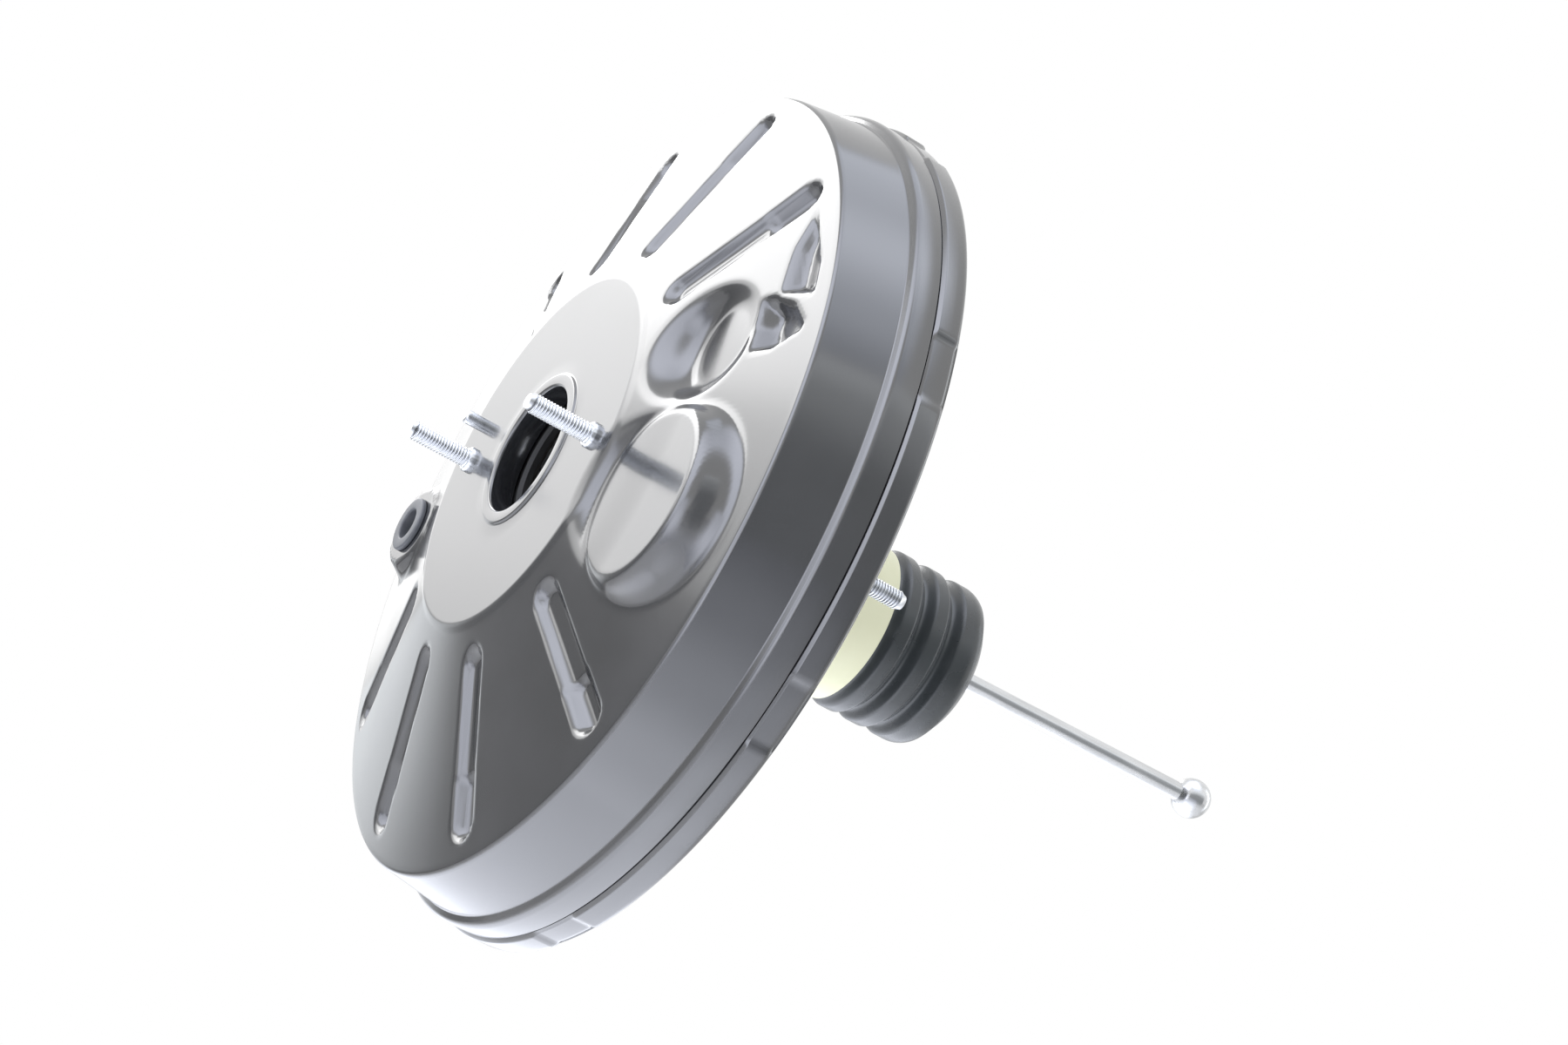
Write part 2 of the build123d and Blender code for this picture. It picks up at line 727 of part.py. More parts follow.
with BuildPart() as output_rod_retainer:
    retainer_inside = body_nose_radius + seat_gap
    lid_rear = nose_front - seat_gap
    outline = [
        (retainer_flange, flange_front - seat_gap),
        (retainer_inside, flange_front - seat_gap),
        (retainer_inside, lid_rear),
        (output_rod_radius + rod_hole_gap, lid_rear),
        (output_rod_radius + rod_hole_gap, lid_rear - retainer_sheet),
        (retainer_inside + retainer_sheet, lid_rear - retainer_sheet),
        (retainer_inside + retainer_sheet, flange_front - seat_gap - retainer_sheet),
        (retainer_flange, flange_front - seat_gap - retainer_sheet),
    ]
    revolve(section(outline), axis=Axis.Y)

with BuildPart() as return_spring:
    add(coil(spring_mean_radius, spring_wire, spring_front, spring_rear - seat_gap, spring_turns))

# ---------------------------------------------------------------- control valve
with BuildPart() as valve_plunger:
    stem = plunger_bore - plunger_gap
    waist_front = key_front - key_play
    waist_rear = key_front + key_thick + reaction_gap + key_play
    outline = [
        (0, disc_floor + reaction_gap),
        (stem, disc_floor + reaction_gap),
        (stem, waist_front),
        (key_waist, waist_front),
        (key_waist, waist_rear),
        (stem, waist_rear),
        (stem, 0),
        (seat_radius, 0),
        (seat_radius, seat_thick),
        (socket_radius, seat_thick),
        (socket_radius, socket_end),
        (0, socket_end),
    ]
    revolve(section(outline), axis=Axis.Y)
    with Locations((0, pivot_y, 0)):
        Sphere(inner_ball + ball_gap, mode=Mode.SUBTRACT)
    mouth_start = pivot_y + ((inner_ball + ball_gap) ** 2 - socket_mouth**2) ** 0.5
    mouth = [
        (0, pivot_y),
        (socket_mouth, pivot_y),
        (socket_mouth, mouth_start),
        (socket_flare, socket_end),
        (0, socket_end),
    ]
    revolve(section(mouth), axis=Axis.Y, mode=Mode.SUBTRACT)

with BuildPart() as plunger_key:
    with BuildSketch(facing_rear(0, 0, key_front)):
        Rectangle(2 * key_reach, key_width)
        with Locations((key_reach / 2, 0)):
            Rectangle(key_reach, 2 * (key_waist + key_play), mode=Mode.SUBTRACT)
        Circle(key_waist + key_play, mode=Mode.SUBTRACT)
    extrude(amount=key_thick)
    chamfer(plunger_key.edges().filter_by(Axis.Y).sort_by(Axis.X)[:2], key_chamfer)

with BuildPart() as poppet_valve:
    bead_start = filter_bore_floor + seat_gap
    poppet_rear = bead_start + poppet_bead
    outline = [
        (poppet_inner, poppet_face),
        (poppet_outer, poppet_face),
        (poppet_outer, bead_start),
        (filter_bore - 2 * seat_gap, bead_start),
        (filter_bore - 2 * seat_gap, poppet_rear),
        (poppet_outer - poppet_wall, poppet_rear),
        (poppet_outer - poppet_wall, poppet_face + poppet_face_thick),
        (poppet_inner, poppet_face + poppet_face_thick),
    ]
    revolve(section(outline), axis=Axis.Y)

with BuildPart() as poppet_retainer:
    retainer_front = poppet_rear + seat_gap
    retainer_rear = retainer_front + poppet_retainer_thick
    revolve(ring(poppet_retainer_inner, filter_bore - seat_gap, retainer_front, retainer_rear), axis=Axis.Y)

with BuildPart() as poppet_spring:
    add(coil(poppet_spring_radius, poppet_spring_wire, poppet_face + poppet_face_thick + seat_gap,
             poppet_rear, poppet_spring_turns))

# The pushrod's own frame: its origin is the inner ball and its Z runs along the rod.
lift = radians(rod_lift)
rod_along = Vector(0, cos(lift), sin(lift))
rod_plane = Plane(origin=(0, pivot_y, 0), x_dir=(1, 0, 0), z_dir=tuple(rod_along))

with BuildPart() as input_pushrod:
    with BuildSketch(rod_plane):
        Circle(rod_neck_radius)
    extrude(amount=rod_neck_length + rod_radius)
    with BuildSketch(rod_plane.offset(rod_neck_length)):
        Circle(rod_radius)
    extrude(amount=rod_length - rod_neck_length)
    with Locations(rod_plane):
        Sphere(inner_ball)
    with Locations(rod_plane.offset(rod_length)):
        Sphere(rod_ball)

with BuildPart() as input_spring_seat:
    with BuildSketch(rod_plane.offset(input_seat_distance)):
        Circle(input_seat_radius)
        Circle(rod_radius, mode=Mode.SUBTRACT)
    extrude(amount=input_seat_thick)

with BuildPart() as input_return_spring:
    seat_y = pivot_y + input_seat_distance * cos(lift) - input_seat_tilt_room
    add(coil(input_spring_radius, input_spring_wire, retainer_rear + seat_gap, seat_y, input_spring_turns))

# ---------------------------------------------------------------- air path in the valve body
filter_outer = filter_bore - seat_gap
filter_rear = filter_front + filter_length
silencer_front = filter_rear + stack_gap
silencer_rear = silencer_front + silencer_length
clip_front = silencer_rear + stack_gap

with BuildPart() as air_filter:
    revolve(ring(filter_inner, filter_outer, filter_front, filter_rear), axis=Axis.Y)

with BuildPart() as air_silencer:
    revolve(ring(filter_inner, filter_outer, silencer_front, silencer_rear), axis=Axis.Y)

with BuildPart() as filter_retainer:
    revolve(ring(filter_inner, filter_outer, clip_front, clip_front + filter_clip), axis=Axis.Y)

# ---------------------------------------------------------------- neck fittings
neck_fit = neck_radius - rear_sheet_neck - neck_fit_gap
bearing_rear = bearing_front + bearing_length
neck_seal_front = bearing_rear + stack_gap
neck_seal_rear = neck_seal_front + seal_length

with BuildPart() as neck_bearing:
    revolve(ring(body_neck_radius + plunger_gap, neck_fit, bearing_front, bearing_rear), axis=Axis.Y)

with BuildPart() as neck_seal:
    middle = (neck_seal_front + neck_seal_rear) / 2
    waist = (body_neck_radius + neck_fit) / 2
    outline = [
        (body_neck_radius + seal_gap, neck_seal_front),
        (neck_fit, neck_seal_front),
        (neck_fit, neck_seal_rear),
        (body_neck_radius + seal_gap, neck_seal_rear),
        (body_neck_radius + seal_gap, neck_seal_rear - seal_length / 4),
        (waist, middle),
        (body_neck_radius + seal_gap, neck_seal_front + seal_length / 4),
    ]
    revolve(section(outline), axis=Axis.Y)

with BuildPart() as neck_seal_clip:
    clip_start = neck_seal_rear + stack_gap
    revolve(ring(body_neck_radius + seal_gap, neck_fit, clip_start, clip_start + clip_thick), axis=Axis.Y)

with BuildPart() as neck_sleeve:
    revolve(ring(sleeve_inside, sleeve_radius, sleeve_front, sleeve_end), axis=Axis.Y)

with BuildPart() as boot:
    lip_inner = neck_radius + seat_gap
    lip_outer = sleeve_inside - seat_gap
    nose_inner = body_neck_radius + seat_gap
    nose_outer = nose_inner + boot_wall
    nose_end = body_neck_end + seat_gap + boot_nose_thick
    half_pitch = boot_fold_pitch / 2
    folds = [(lip_outer, sleeve_end + 2 * seat_gap)]
    for number in range(boot_folds):
        crest_y = sleeve_end + boot_first_crest + number * boot_fold_pitch
        folds.append((boot_crest, crest_y))
        if number < boot_folds - 1:
            folds.append((boot_valley, crest_y + half_pitch))
    shoulder = (boot_crest + nose_outer) / 2
    outer = folds + [(shoulder + boot_wall, nose_end - boot_nose_thick / 2), (nose_outer, nose_end)]
    inner = [(radius - boot_wall, place) for radius, place in folds[1:]]
    inner = [(lip_inner, sleeve_end + 2 * seat_gap)] + inner + [(nose_outer, body_neck_end - boot_wall)]
    with BuildSketch(Plane.XY) as skin_section:
        with BuildLine():
            Spline(*outer)
            Polyline(outer[-1], (boot_mouth, nose_end), (boot_mouth, body_neck_end + seat_gap),
                     (nose_inner, body_neck_end + seat_gap), (nose_inner, body_neck_end - boot_grip),
                     (nose_outer, body_neck_end - boot_grip), inner[-1])
            Spline(*inner)
            Polyline(inner[0], (lip_inner, sleeve_end - boot_lip_length),
                     (lip_outer, sleeve_end - boot_lip_length), outer[0])
        make_face()
    revolve(skin_section.sketch, axis=Axis.Y)

# ---------------------------------------------------------------- write the parts
pieces = {
    "front_shell": front_shell,
    "rear_shell": rear_shell,
    "front_reinforcement_plate": front_reinforcement_plate,
    "rear_reinforcement_plate": rear_reinforcement_plate,
    "front_studs": front_studs,
    "rear_studs": rear_studs,
    "locating_pin": locating_pin,
    "check_valve_grommet": check_valve_grommet,
    "front_seal": front_seal,
    "front_seal_retainer": front_seal_retainer,
    "valve_body": valve_body,
    "diaphragm_plate": diaphragm_plate,
    "diaphragm": diaphragm,
    "reaction_disc": reaction_disc,
    "output_pushrod": output_pushrod,
    "output_rod_retainer": output_rod_retainer,
    "return_spring": return_spring,
    "valve_plunger": valve_plunger,
    "plunger_key": plunger_key,
    "poppet_valve": poppet_valve,
    "poppet_retainer": poppet_retainer,
    "poppet_spring": poppet_spring,
    "input_pushrod": input_pushrod,
    "input_spring_seat": input_spring_seat,
    "input_return_spring": input_return_spring,
    "air_filter": air_filter,
    "air_silencer": air_silencer,
    "filter_retainer": filter_retainer,
    "neck_bearing": neck_bearing,
    "neck_seal": neck_seal,
    "neck_seal_clip": neck_seal_clip,
    "neck_sleeve": neck_sleeve,
    "boot": boot,
}
os.makedirs("parts", exist_ok=True)
for name, piece in pieces.items():
    piece.part.label = name
    export_step(piece.part, f"parts/{name}.step")
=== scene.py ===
# %% [markdown]
# # A vacuum brake booster
#
# A brake booster adds the pull of the engine's vacuum to the push of the foot. It is two
# pressed steel shells with a rubber diaphragm between them, and a valve body in the middle
# that the pushrod works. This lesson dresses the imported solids: the shells, the studs, the
# grommet, the neck collar, the boot, the pushrod and the diaphragm are modelled again with
# the soft press radii, threads and moulded edges that the solids leave out, and every piece
# that stays gets a procedural finish.

# %% Load the frame
import json
import math

import bpy
import numpy as np
from mathutils import Matrix, Vector

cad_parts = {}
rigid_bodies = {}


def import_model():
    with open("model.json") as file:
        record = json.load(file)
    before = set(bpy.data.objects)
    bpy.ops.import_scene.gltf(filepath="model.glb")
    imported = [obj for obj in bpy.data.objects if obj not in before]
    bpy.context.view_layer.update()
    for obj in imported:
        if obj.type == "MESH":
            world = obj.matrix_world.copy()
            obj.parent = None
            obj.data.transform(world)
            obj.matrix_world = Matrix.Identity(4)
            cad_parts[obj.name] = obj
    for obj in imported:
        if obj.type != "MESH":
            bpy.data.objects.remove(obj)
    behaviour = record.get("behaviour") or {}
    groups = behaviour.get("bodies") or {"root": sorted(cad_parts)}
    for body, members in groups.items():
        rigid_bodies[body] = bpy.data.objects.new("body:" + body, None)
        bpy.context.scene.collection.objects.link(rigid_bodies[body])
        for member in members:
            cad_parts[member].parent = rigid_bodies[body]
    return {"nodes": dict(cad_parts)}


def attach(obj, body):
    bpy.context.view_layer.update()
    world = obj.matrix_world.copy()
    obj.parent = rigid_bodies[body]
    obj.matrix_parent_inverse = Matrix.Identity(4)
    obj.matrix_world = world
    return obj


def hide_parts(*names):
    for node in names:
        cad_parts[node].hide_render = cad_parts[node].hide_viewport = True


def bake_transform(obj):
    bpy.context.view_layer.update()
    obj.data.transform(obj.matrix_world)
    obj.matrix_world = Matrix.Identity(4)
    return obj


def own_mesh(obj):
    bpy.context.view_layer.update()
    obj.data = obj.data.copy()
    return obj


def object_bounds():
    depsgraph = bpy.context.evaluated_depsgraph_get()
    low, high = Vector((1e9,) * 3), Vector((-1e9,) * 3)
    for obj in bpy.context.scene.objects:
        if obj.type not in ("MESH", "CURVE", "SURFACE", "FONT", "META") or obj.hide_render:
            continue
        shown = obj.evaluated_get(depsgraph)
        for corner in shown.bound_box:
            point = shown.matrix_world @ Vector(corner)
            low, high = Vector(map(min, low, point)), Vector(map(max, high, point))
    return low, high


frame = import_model()
cad_low, cad_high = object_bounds()
bpy.ops.object.select_all(action="DESELECT")
MM = 0.001
print("solids loaded:", len(frame["nodes"]), "box", tuple(cad_low), tuple(cad_high))

# %% [markdown]
# ## Camera
#
# The booster is looked at from its right, a little ahead of it and from below its axis, with
# a long lens, so the drum shows as a narrow ellipse. The camera is rolled as well, which makes
# the drum lean. A camera could be aimed with a constraint. Here its place and its turn are
# typed, because every later choice of detail depends on how large a piece is in view.

# %% Camera
LENS = 81.56                 # millimetres, on a sensor 36 mm wide
CAMERA_PLACE = (0.95322, -0.41133, -0.25495)
CAMERA_TURN = (105.8585, -21.8188, 60.4084)
camera_data = bpy.data.cameras.new("camera")
camera_data.sensor_width = 36.0
camera_data.lens = LENS
camera = bpy.data.objects.new("camera", camera_data)
camera.location = CAMERA_PLACE
camera.rotation_euler = [math.radians(angle) for angle in CAMERA_TURN]
bpy.context.scene.collection.objects.link(camera)
bpy.context.scene.camera = camera
print("camera: lens", LENS, "mm, distance", round(camera.location.length, 3), "m")

# %% [markdown]
# ## Studio
#
# A plain pale floor lies well below, because a booster hangs on the firewall and stands on
# nothing. Black gloss paint shows what is around it more than it shows its own colour. Lamps
# would leave small hard spots on it, so the light comes from a white world and from large
# glowing cards, whose brightness changes slowly from edge to edge. Each card is put where one
# side of the booster mirrors it. The camera doesn't see the cards.

# %% Studio surfaces


def matt(name, colour):
    """A plain matt surface for the studio."""
    made = bpy.data.materials.new(name)
    made.use_nodes = True
    shader = made.node_tree.nodes["Principled BSDF"]
    shader.inputs["Base Color"].default_value = (*colour, 1)
    shader.inputs["Roughness"].default_value = 0.9
    shader.inputs["Specular IOR Level"].default_value = 0.1
    return made


def glow(name, levels, edge, colour):
    """A glow that follows the card's height. Levels are (height from 0 to 1, brightness)."""
    made = bpy.data.materials.new(name)
    made.use_nodes = True
    tree = made.node_tree
    tree.nodes.clear()
    place = tree.nodes.new("ShaderNodeTexCoord")
    split = tree.nodes.new("ShaderNodeSeparateXYZ")
    tree.links.new(place.outputs["Object"], split.inputs["Vector"])
    height = tree.nodes.new("ShaderNodeMath")
    height.operation = "ADD"
    height.inputs[1].default_value = 0.5
    tree.links.new(split.outputs["Y"], height.inputs[0])
    top = max(level for _, level in levels)
    ramp = tree.nodes.new("ShaderNodeValToRGB")
    ramp.color_ramp.interpolation = "EASE"
    marks = ramp.color_ramp.elements
    while len(marks) < len(levels):
        marks.new(0.5)
    for mark, (where, level) in zip(marks, levels):
        mark.position = where
        mark.color = (level / top, level / top, level / top, 1)
    tree.links.new(height.outputs[0], ramp.inputs["Fac"])
    aside = tree.nodes.new("ShaderNodeMath")
    aside.operation = "ABSOLUTE"
    tree.links.new(split.outputs["X"], aside.inputs[0])
    fade = tree.nodes.new("ShaderNodeMapRange")
    fade.interpolation_type = "SMOOTHSTEP"
    fade.inputs["From Min"].default_value = 0.5
    fade.inputs["From Max"].default_value = 0.5 - edge
    tree.links.new(aside.outputs[0], fade.inputs["Value"])
    power = tree.nodes.new("ShaderNodeMath")
    power.operation = "MULTIPLY"
    power.inputs[1].default_value = top
    tree.links.new(ramp.outputs["Color"], power.inputs[0])
    light = tree.nodes.new("ShaderNodeEmission")
    light.inputs["Color"].default_value = (*colour, 1)
    tree.links.new(power.outputs[0], light.inputs["Strength"])
    clear = tree.nodes.new("ShaderNodeBsdfTransparent")
    mixed = tree.nodes.new("ShaderNodeMixShader")
    tree.links.new(fade.outputs["Result"], mixed.inputs[0])
    tree.links.new(clear.outputs[0], mixed.inputs[1])
    tree.links.new(light.outputs[0], mixed.inputs[2])
    output = tree.nodes.new("ShaderNodeOutputMaterial")
    tree.links.new(mixed.outputs[0], output.inputs["Surface"])
    return made


print("studio surfaces: matt and glow")

# %% [markdown]
# ## Floor and world
#
# The world lights the booster at a little under full strength. The camera, mirrored rays and
# rays that pass through a clear surface see it at full strength, which is white, so that the
# background is plain without any more light on the booster.

# %% Floor and world
FLOOR_DROP = 0.62            # floor below the lowest point of the booster
FLOOR_SIZE = 14
WORLD_LIGHT = 0.72           # what the world gives to the booster
WORLD_SEEN = 1.0             # what the camera and the reflections see of it
bpy.ops.mesh.primitive_plane_add(size=FLOOR_SIZE, location=(0, 0, cad_low.z - FLOOR_DROP))
floor = bpy.context.active_object
floor.name = "studio_floor"
floor.data.materials.append(matt("studio_floor", (0.86, 0.86, 0.86)))

world = bpy.data.worlds.new("studio")
bpy.context.scene.world = world
world.use_nodes = True
nodes, links = world.node_tree.nodes, world.node_tree.links
path = nodes.new("ShaderNodeLightPath")
seen = nodes.new("ShaderNodeMath")
seen.operation = "MAXIMUM"
seen_through = nodes.new("ShaderNodeMath")
seen_through.operation = "MAXIMUM"
strength = nodes.new("ShaderNodeMapRange")
strength.inputs["To Min"].default_value = WORLD_LIGHT
strength.inputs["To Max"].default_value = WORLD_SEEN
links.new(path.outputs["Is Camera Ray"], seen.inputs[0])
links.new(path.outputs["Is Glossy Ray"], seen.inputs[1])
links.new(seen.outputs[0], seen_through.inputs[0])
links.new(path.outputs["Is Transmission Ray"], seen_through.inputs[1])
links.new(seen_through.outputs[0], strength.inputs["Value"])
links.new(strength.outputs["Result"], nodes["Background"].inputs["Strength"])
nodes["Background"].inputs["Color"].default_value = (1, 1, 1, 1)
bpy.context.scene.view_settings.view_transform = "Standard"
print("floor at", round(floor.location.z, 3), "m, world light", WORLD_LIGHT)

# %% [markdown]
# ## Glowing cards
#
# The large face card stands to the left and ahead, where the pad and the cone mirror it, and
# is bright above and dim below. Seven others stand ahead, left, right, above, below and behind.
# The shade card stands on the right, where the drum mirrors it as a quiet grey band, and it
# gives no light to matt surfaces.

# %% Glowing cards
MIDDLE = (0, -0.04, 0)       # every card faces this point
WHITE = (1, 1, 1)
COOL = (0.94, 0.97, 1.0)
COOLER = (0.88, 0.91, 1.0)
COOLEST = (0.86, 0.89, 1.0)


def studio_card(name, place, width, height, levels, edge, colour):
    """A glowing card that faces the booster. The camera doesn't see it."""
    bpy.ops.mesh.primitive_plane_add(size=1, location=place)
    card = bpy.context.active_object
    card.name = name
    card.scale = (width, height, 1)
    card.rotation_mode = "QUATERNION"
    facing = (Vector(MIDDLE) - Vector(place)).normalized()
    side = Vector((0, 0, 1)).cross(facing).normalized()
    card.rotation_quaternion = Matrix((side, facing.cross(side), facing)).transposed().to_quaternion()
    card.data.materials.append(glow(name, levels, edge, colour))
    card.visible_camera = False
    card.visible_shadow = False
    return card


studio_card("face_card", (-1.27, -0.80, 0.30), 2.6, 1.9,
            [(0.0, 0.32), (0.40, 0.42), (0.455, 1.7), (0.52, 2.1), (0.60, 2.45), (0.67, 3.9),
             (0.75, 4.5), (1.0, 4.6)], 0.1, WHITE)
studio_card("front_card", (0.24, -1.15, 0.55), 1.15, 2.6,
            [(0, 0.8), (0.25, 2.6), (0.6, 3.2), (1, 2.0)], 0.3, COOLEST)
studio_card("left_card", (-1.42, -0.25, -0.13), 1.25, 0.5,
            [(0, 0.5), (0.3, 0.9), (0.6, 1.4), (1, 1.5)], 0.38, COOL)
studio_card("right_card", (0.62, -1.02, -0.34), 0.9, 0.9, [(0, 1.2), (0.5, 2.8), (1, 2.2)], 0.35,
            COOLEST)
studio_card("top_card", (0.30, -0.04, 1.20), 1.1, 1.8,
            [(0, 1.0), (0.22, 1.7), (0.47, 2.6), (0.68, 1.9), (0.93, 1.8), (1, 1.2)], 0.15,
            (0.86, 0.90, 1.0))
studio_card("low_card", (-0.24, 0.08, -0.45), 0.88, 1.16,
            [(0, 2.2), (0.5, 2.5), (0.8, 2.6), (1, 1.6)], 0.3, COOLER)
studio_card("corner_card", (0.40, -0.04, -0.40), 0.9, 0.8,
            [(0, 2.4), (0.28, 2.0), (0.53, 1.3), (0.76, 0.8), (1, 0.5)], 0.3, COOLER)
studio_card("rear_card", (0.10, 1.25, 0.30), 0.34, 1.6, [(0, 1.6), (0.5, 3.0), (1, 2.0)], 0.3,
            (0.92, 0.96, 1.0))
shade = studio_card("shade_card", (1.20, 0.10, 0.12), 2.5, 1.6,
                    [(0, 0.5), (0.3, 0.40), (0.62, 0.45), (0.85, 0.9), (1, 1.5)], 0.05, COOL)
shade.visible_diffuse = False
cards = [piece.name for piece in bpy.data.objects if piece.name.endswith("_card")]
print("glowing cards:", len(cards))

# %% [markdown]
# ## Finishes
#
# A booster has few finishes: gloss black paint, bright and yellow zinc, ground steel, rubber
# and moulded plastic. They could be painted images. Here each one is a node tree on Object
# coordinates, so its grain keeps its true size and stays put when a piece moves. A noise
# breaks up the colour and the roughness, and a bump gives the fine relief: orange peel on the
# paint, draw lines along the pushrod, a fine grain on rubber.

# %% Finish builder
COLOUR_SPREAD = (0.32, 0.68)  # noise levels between which the colour changes
ROUGH_SPREAD = (0.3, 0.7)     # and the roughness
GRAIN_DETAIL = 4.0
RELIEF_DETAIL = 2.0


def finish(name, colours, roughness, grain_size, bump_height, bump_size, metallic=0.0,
           stretch=(1, 1, 1), specular=0.5, coat=0.0, ior=1.5, sheen=0.0):
    """A surface finish: colours and roughness vary with one noise, and a finer one lifts the
    surface. grain_size, bump_height and bump_size are in millimetres."""
    made = bpy.data.materials.new(name)
    made.use_nodes = True
    tree = made.node_tree
    shader = tree.nodes["Principled BSDF"]
    coordinates = tree.nodes.new("ShaderNodeTexCoord")
    mapping = tree.nodes.new("ShaderNodeMapping")
    mapping.inputs["Scale"].default_value = stretch
    tree.links.new(coordinates.outputs["Object"], mapping.inputs["Vector"])
    grain = tree.nodes.new("ShaderNodeTexNoise")
    grain.inputs["Scale"].default_value = 1 / (grain_size * MM)
    grain.inputs["Detail"].default_value = GRAIN_DETAIL
    tree.links.new(mapping.outputs["Vector"], grain.inputs["Vector"])
    ramp = tree.nodes.new("ShaderNodeValToRGB")
    for mark, where, colour in zip(ramp.color_ramp.elements, COLOUR_SPREAD, colours):
        mark.position = where
        mark.color = (*colour, 1)
    tree.links.new(grain.outputs["Fac"], ramp.inputs["Fac"])
    tree.links.new(ramp.outputs["Color"], shader.inputs["Base Color"])
    rough = tree.nodes.new("ShaderNodeMapRange")
    rough.inputs["From Min"].default_value = ROUGH_SPREAD[0]
    rough.inputs["From Max"].default_value = ROUGH_SPREAD[1]
    rough.inputs["To Min"].default_value = roughness[0]
    rough.inputs["To Max"].default_value = roughness[1]
    tree.links.new(grain.outputs["Fac"], rough.inputs["Value"])
    tree.links.new(rough.outputs["Result"], shader.inputs["Roughness"])
    relief = tree.nodes.new("ShaderNodeTexNoise")
    relief.inputs["Scale"].default_value = 1 / (bump_size * MM)
    relief.inputs["Detail"].default_value = RELIEF_DETAIL
    tree.links.new(mapping.outputs["Vector"], relief.inputs["Vector"])
    bump = tree.nodes.new("ShaderNodeBump")
    bump.inputs["Strength"].default_value = 1.0
    bump.inputs["Distance"].default_value = bump_height * MM
    tree.links.new(relief.outputs["Fac"], bump.inputs["Height"])
    tree.links.new(bump.outputs["Normal"], shader.inputs["Normal"])
    shader.inputs["Metallic"].default_value = metallic
    shader.inputs["Specular IOR Level"].default_value = specular
    shader.inputs["IOR"].default_value = ior
    shader.inputs["Coat Weight"].default_value = coat
    shader.inputs["Coat Roughness"].default_value = 0.08
    shader.inputs["Sheen Weight"].default_value = sheen
    return made


print("finish builder ready, noise detail", GRAIN_DETAIL, "and", RELIEF_DETAIL)

# %% [markdown]
# ## Finishes of this booster
#
# The paint has a high index of refraction and a thin coat, because thick gloss paint mirrors
# the studio strongly. The boot's rubber is satin, and the seals inside are dull. The metals
# get their look from roughness that changes from place to place.

# %% Finishes
GLOSS_BLACK = finish("gloss_black_paint", [(0.018, 0.019, 0.021), (0.026, 0.027, 0.030)],
                     (0.13, 0.2), 30, 0.006, bump_size=2.2, specular=0.7, ior=1.9, coat=0.35)
BRIGHT_ZINC = finish("bright_zinc", [(0.66, 0.68, 0.71), (0.80, 0.82, 0.85)],
                     (0.16, 0.34), 3.0, 0.01, metallic=1.0, bump_size=0.5)
PLATED_STEEL = finish("yellow_zinc_plate", [(0.52, 0.47, 0.33), (0.70, 0.66, 0.52)],
                      (0.25, 0.42), 9.0, 0.01, metallic=1.0, bump_size=0.8)
BRIGHT_STEEL = finish("ground_steel", [(0.60, 0.61, 0.62), (0.74, 0.75, 0.76)],
                      (0.16, 0.30), 2.5, 0.006, metallic=1.0, stretch=(1, 0.12, 1), bump_size=0.4)
SPRING_STEEL = finish("spring_wire", [(0.10, 0.10, 0.11), (0.24, 0.24, 0.25)],
                      (0.28, 0.42), 4.0, 0.008, metallic=1.0, bump_size=0.5)
SEAL_RUBBER = finish("seal_rubber", [(0.012, 0.012, 0.012), (0.022, 0.022, 0.022)],
                     (0.5, 0.62), 6.0, 0.02, bump_size=0.7)
BOOT_RUBBER = finish("boot_rubber", [(0.024, 0.029, 0.031), (0.036, 0.043, 0.046)],
                     (0.24, 0.32), 14.0, 0.01, bump_size=0.6, specular=0.75, sheen=0.1)
GROMMET_RUBBER = finish("grommet_rubber", [(0.085, 0.090, 0.100), (0.125, 0.130, 0.142)],
                        (0.42, 0.52), 5.0, 0.012, bump_size=0.6, specular=0.6)
BLACK_PLASTIC = finish("black_plastic", [(0.014, 0.014, 0.015), (0.024, 0.024, 0.026)],
                       (0.42, 0.52), 6.0, 0.015, bump_size=0.6)
CREAM_PLASTIC = finish("cream_plastic", [(0.82, 0.82, 0.56), (0.88, 0.88, 0.63)],
                       (0.34, 0.44), 18.0, 0.012, bump_size=1.0)
FILTER_FELT = finish("filter_felt", [(0.55, 0.54, 0.50), (0.80, 0.79, 0.74)],
                     (0.85, 0.95), 1.2, 0.25, bump_size=0.5, sheen=0.3)
SILENCER_FOAM = finish("silencer_foam", [(0.02, 0.02, 0.02), (0.10, 0.10, 0.10)],
                       (0.85, 0.95), 1.6, 0.4, bump_size=1.1)

NODE_FINISH = {
    "front_reinforcement_plate": PLATED_STEEL, "rear_reinforcement_plate": PLATED_STEEL,
    "front_seal": SEAL_RUBBER, "front_seal_retainer": BRIGHT_STEEL,
    "valve_body": BLACK_PLASTIC, "diaphragm_plate": PLATED_STEEL, "reaction_disc": SEAL_RUBBER,
    "output_pushrod": BRIGHT_STEEL, "output_rod_retainer": PLATED_STEEL,
    "valve_plunger": BRIGHT_STEEL, "plunger_key": PLATED_STEEL, "poppet_valve": SEAL_RUBBER,
    "poppet_retainer": PLATED_STEEL, "poppet_spring": SPRING_STEEL,
    "input_spring_seat": PLATED_STEEL, "air_filter": FILTER_FELT, "air_silencer": SILENCER_FOAM,
    "filter_retainer": BLACK_PLASTIC, "neck_bearing": CREAM_PLASTIC, "neck_seal": SEAL_RUBBER,
    "neck_seal_clip": PLATED_STEEL, "return_spring": SPRING_STEEL,
    "input_return_spring": SPRING_STEEL,
}
for node, material in NODE_FINISH.items():
    mesh = frame["nodes"][node].data
    mesh.materials.clear()
    mesh.materials.append(material)
print("finishes on solids:", len(NODE_FINISH))

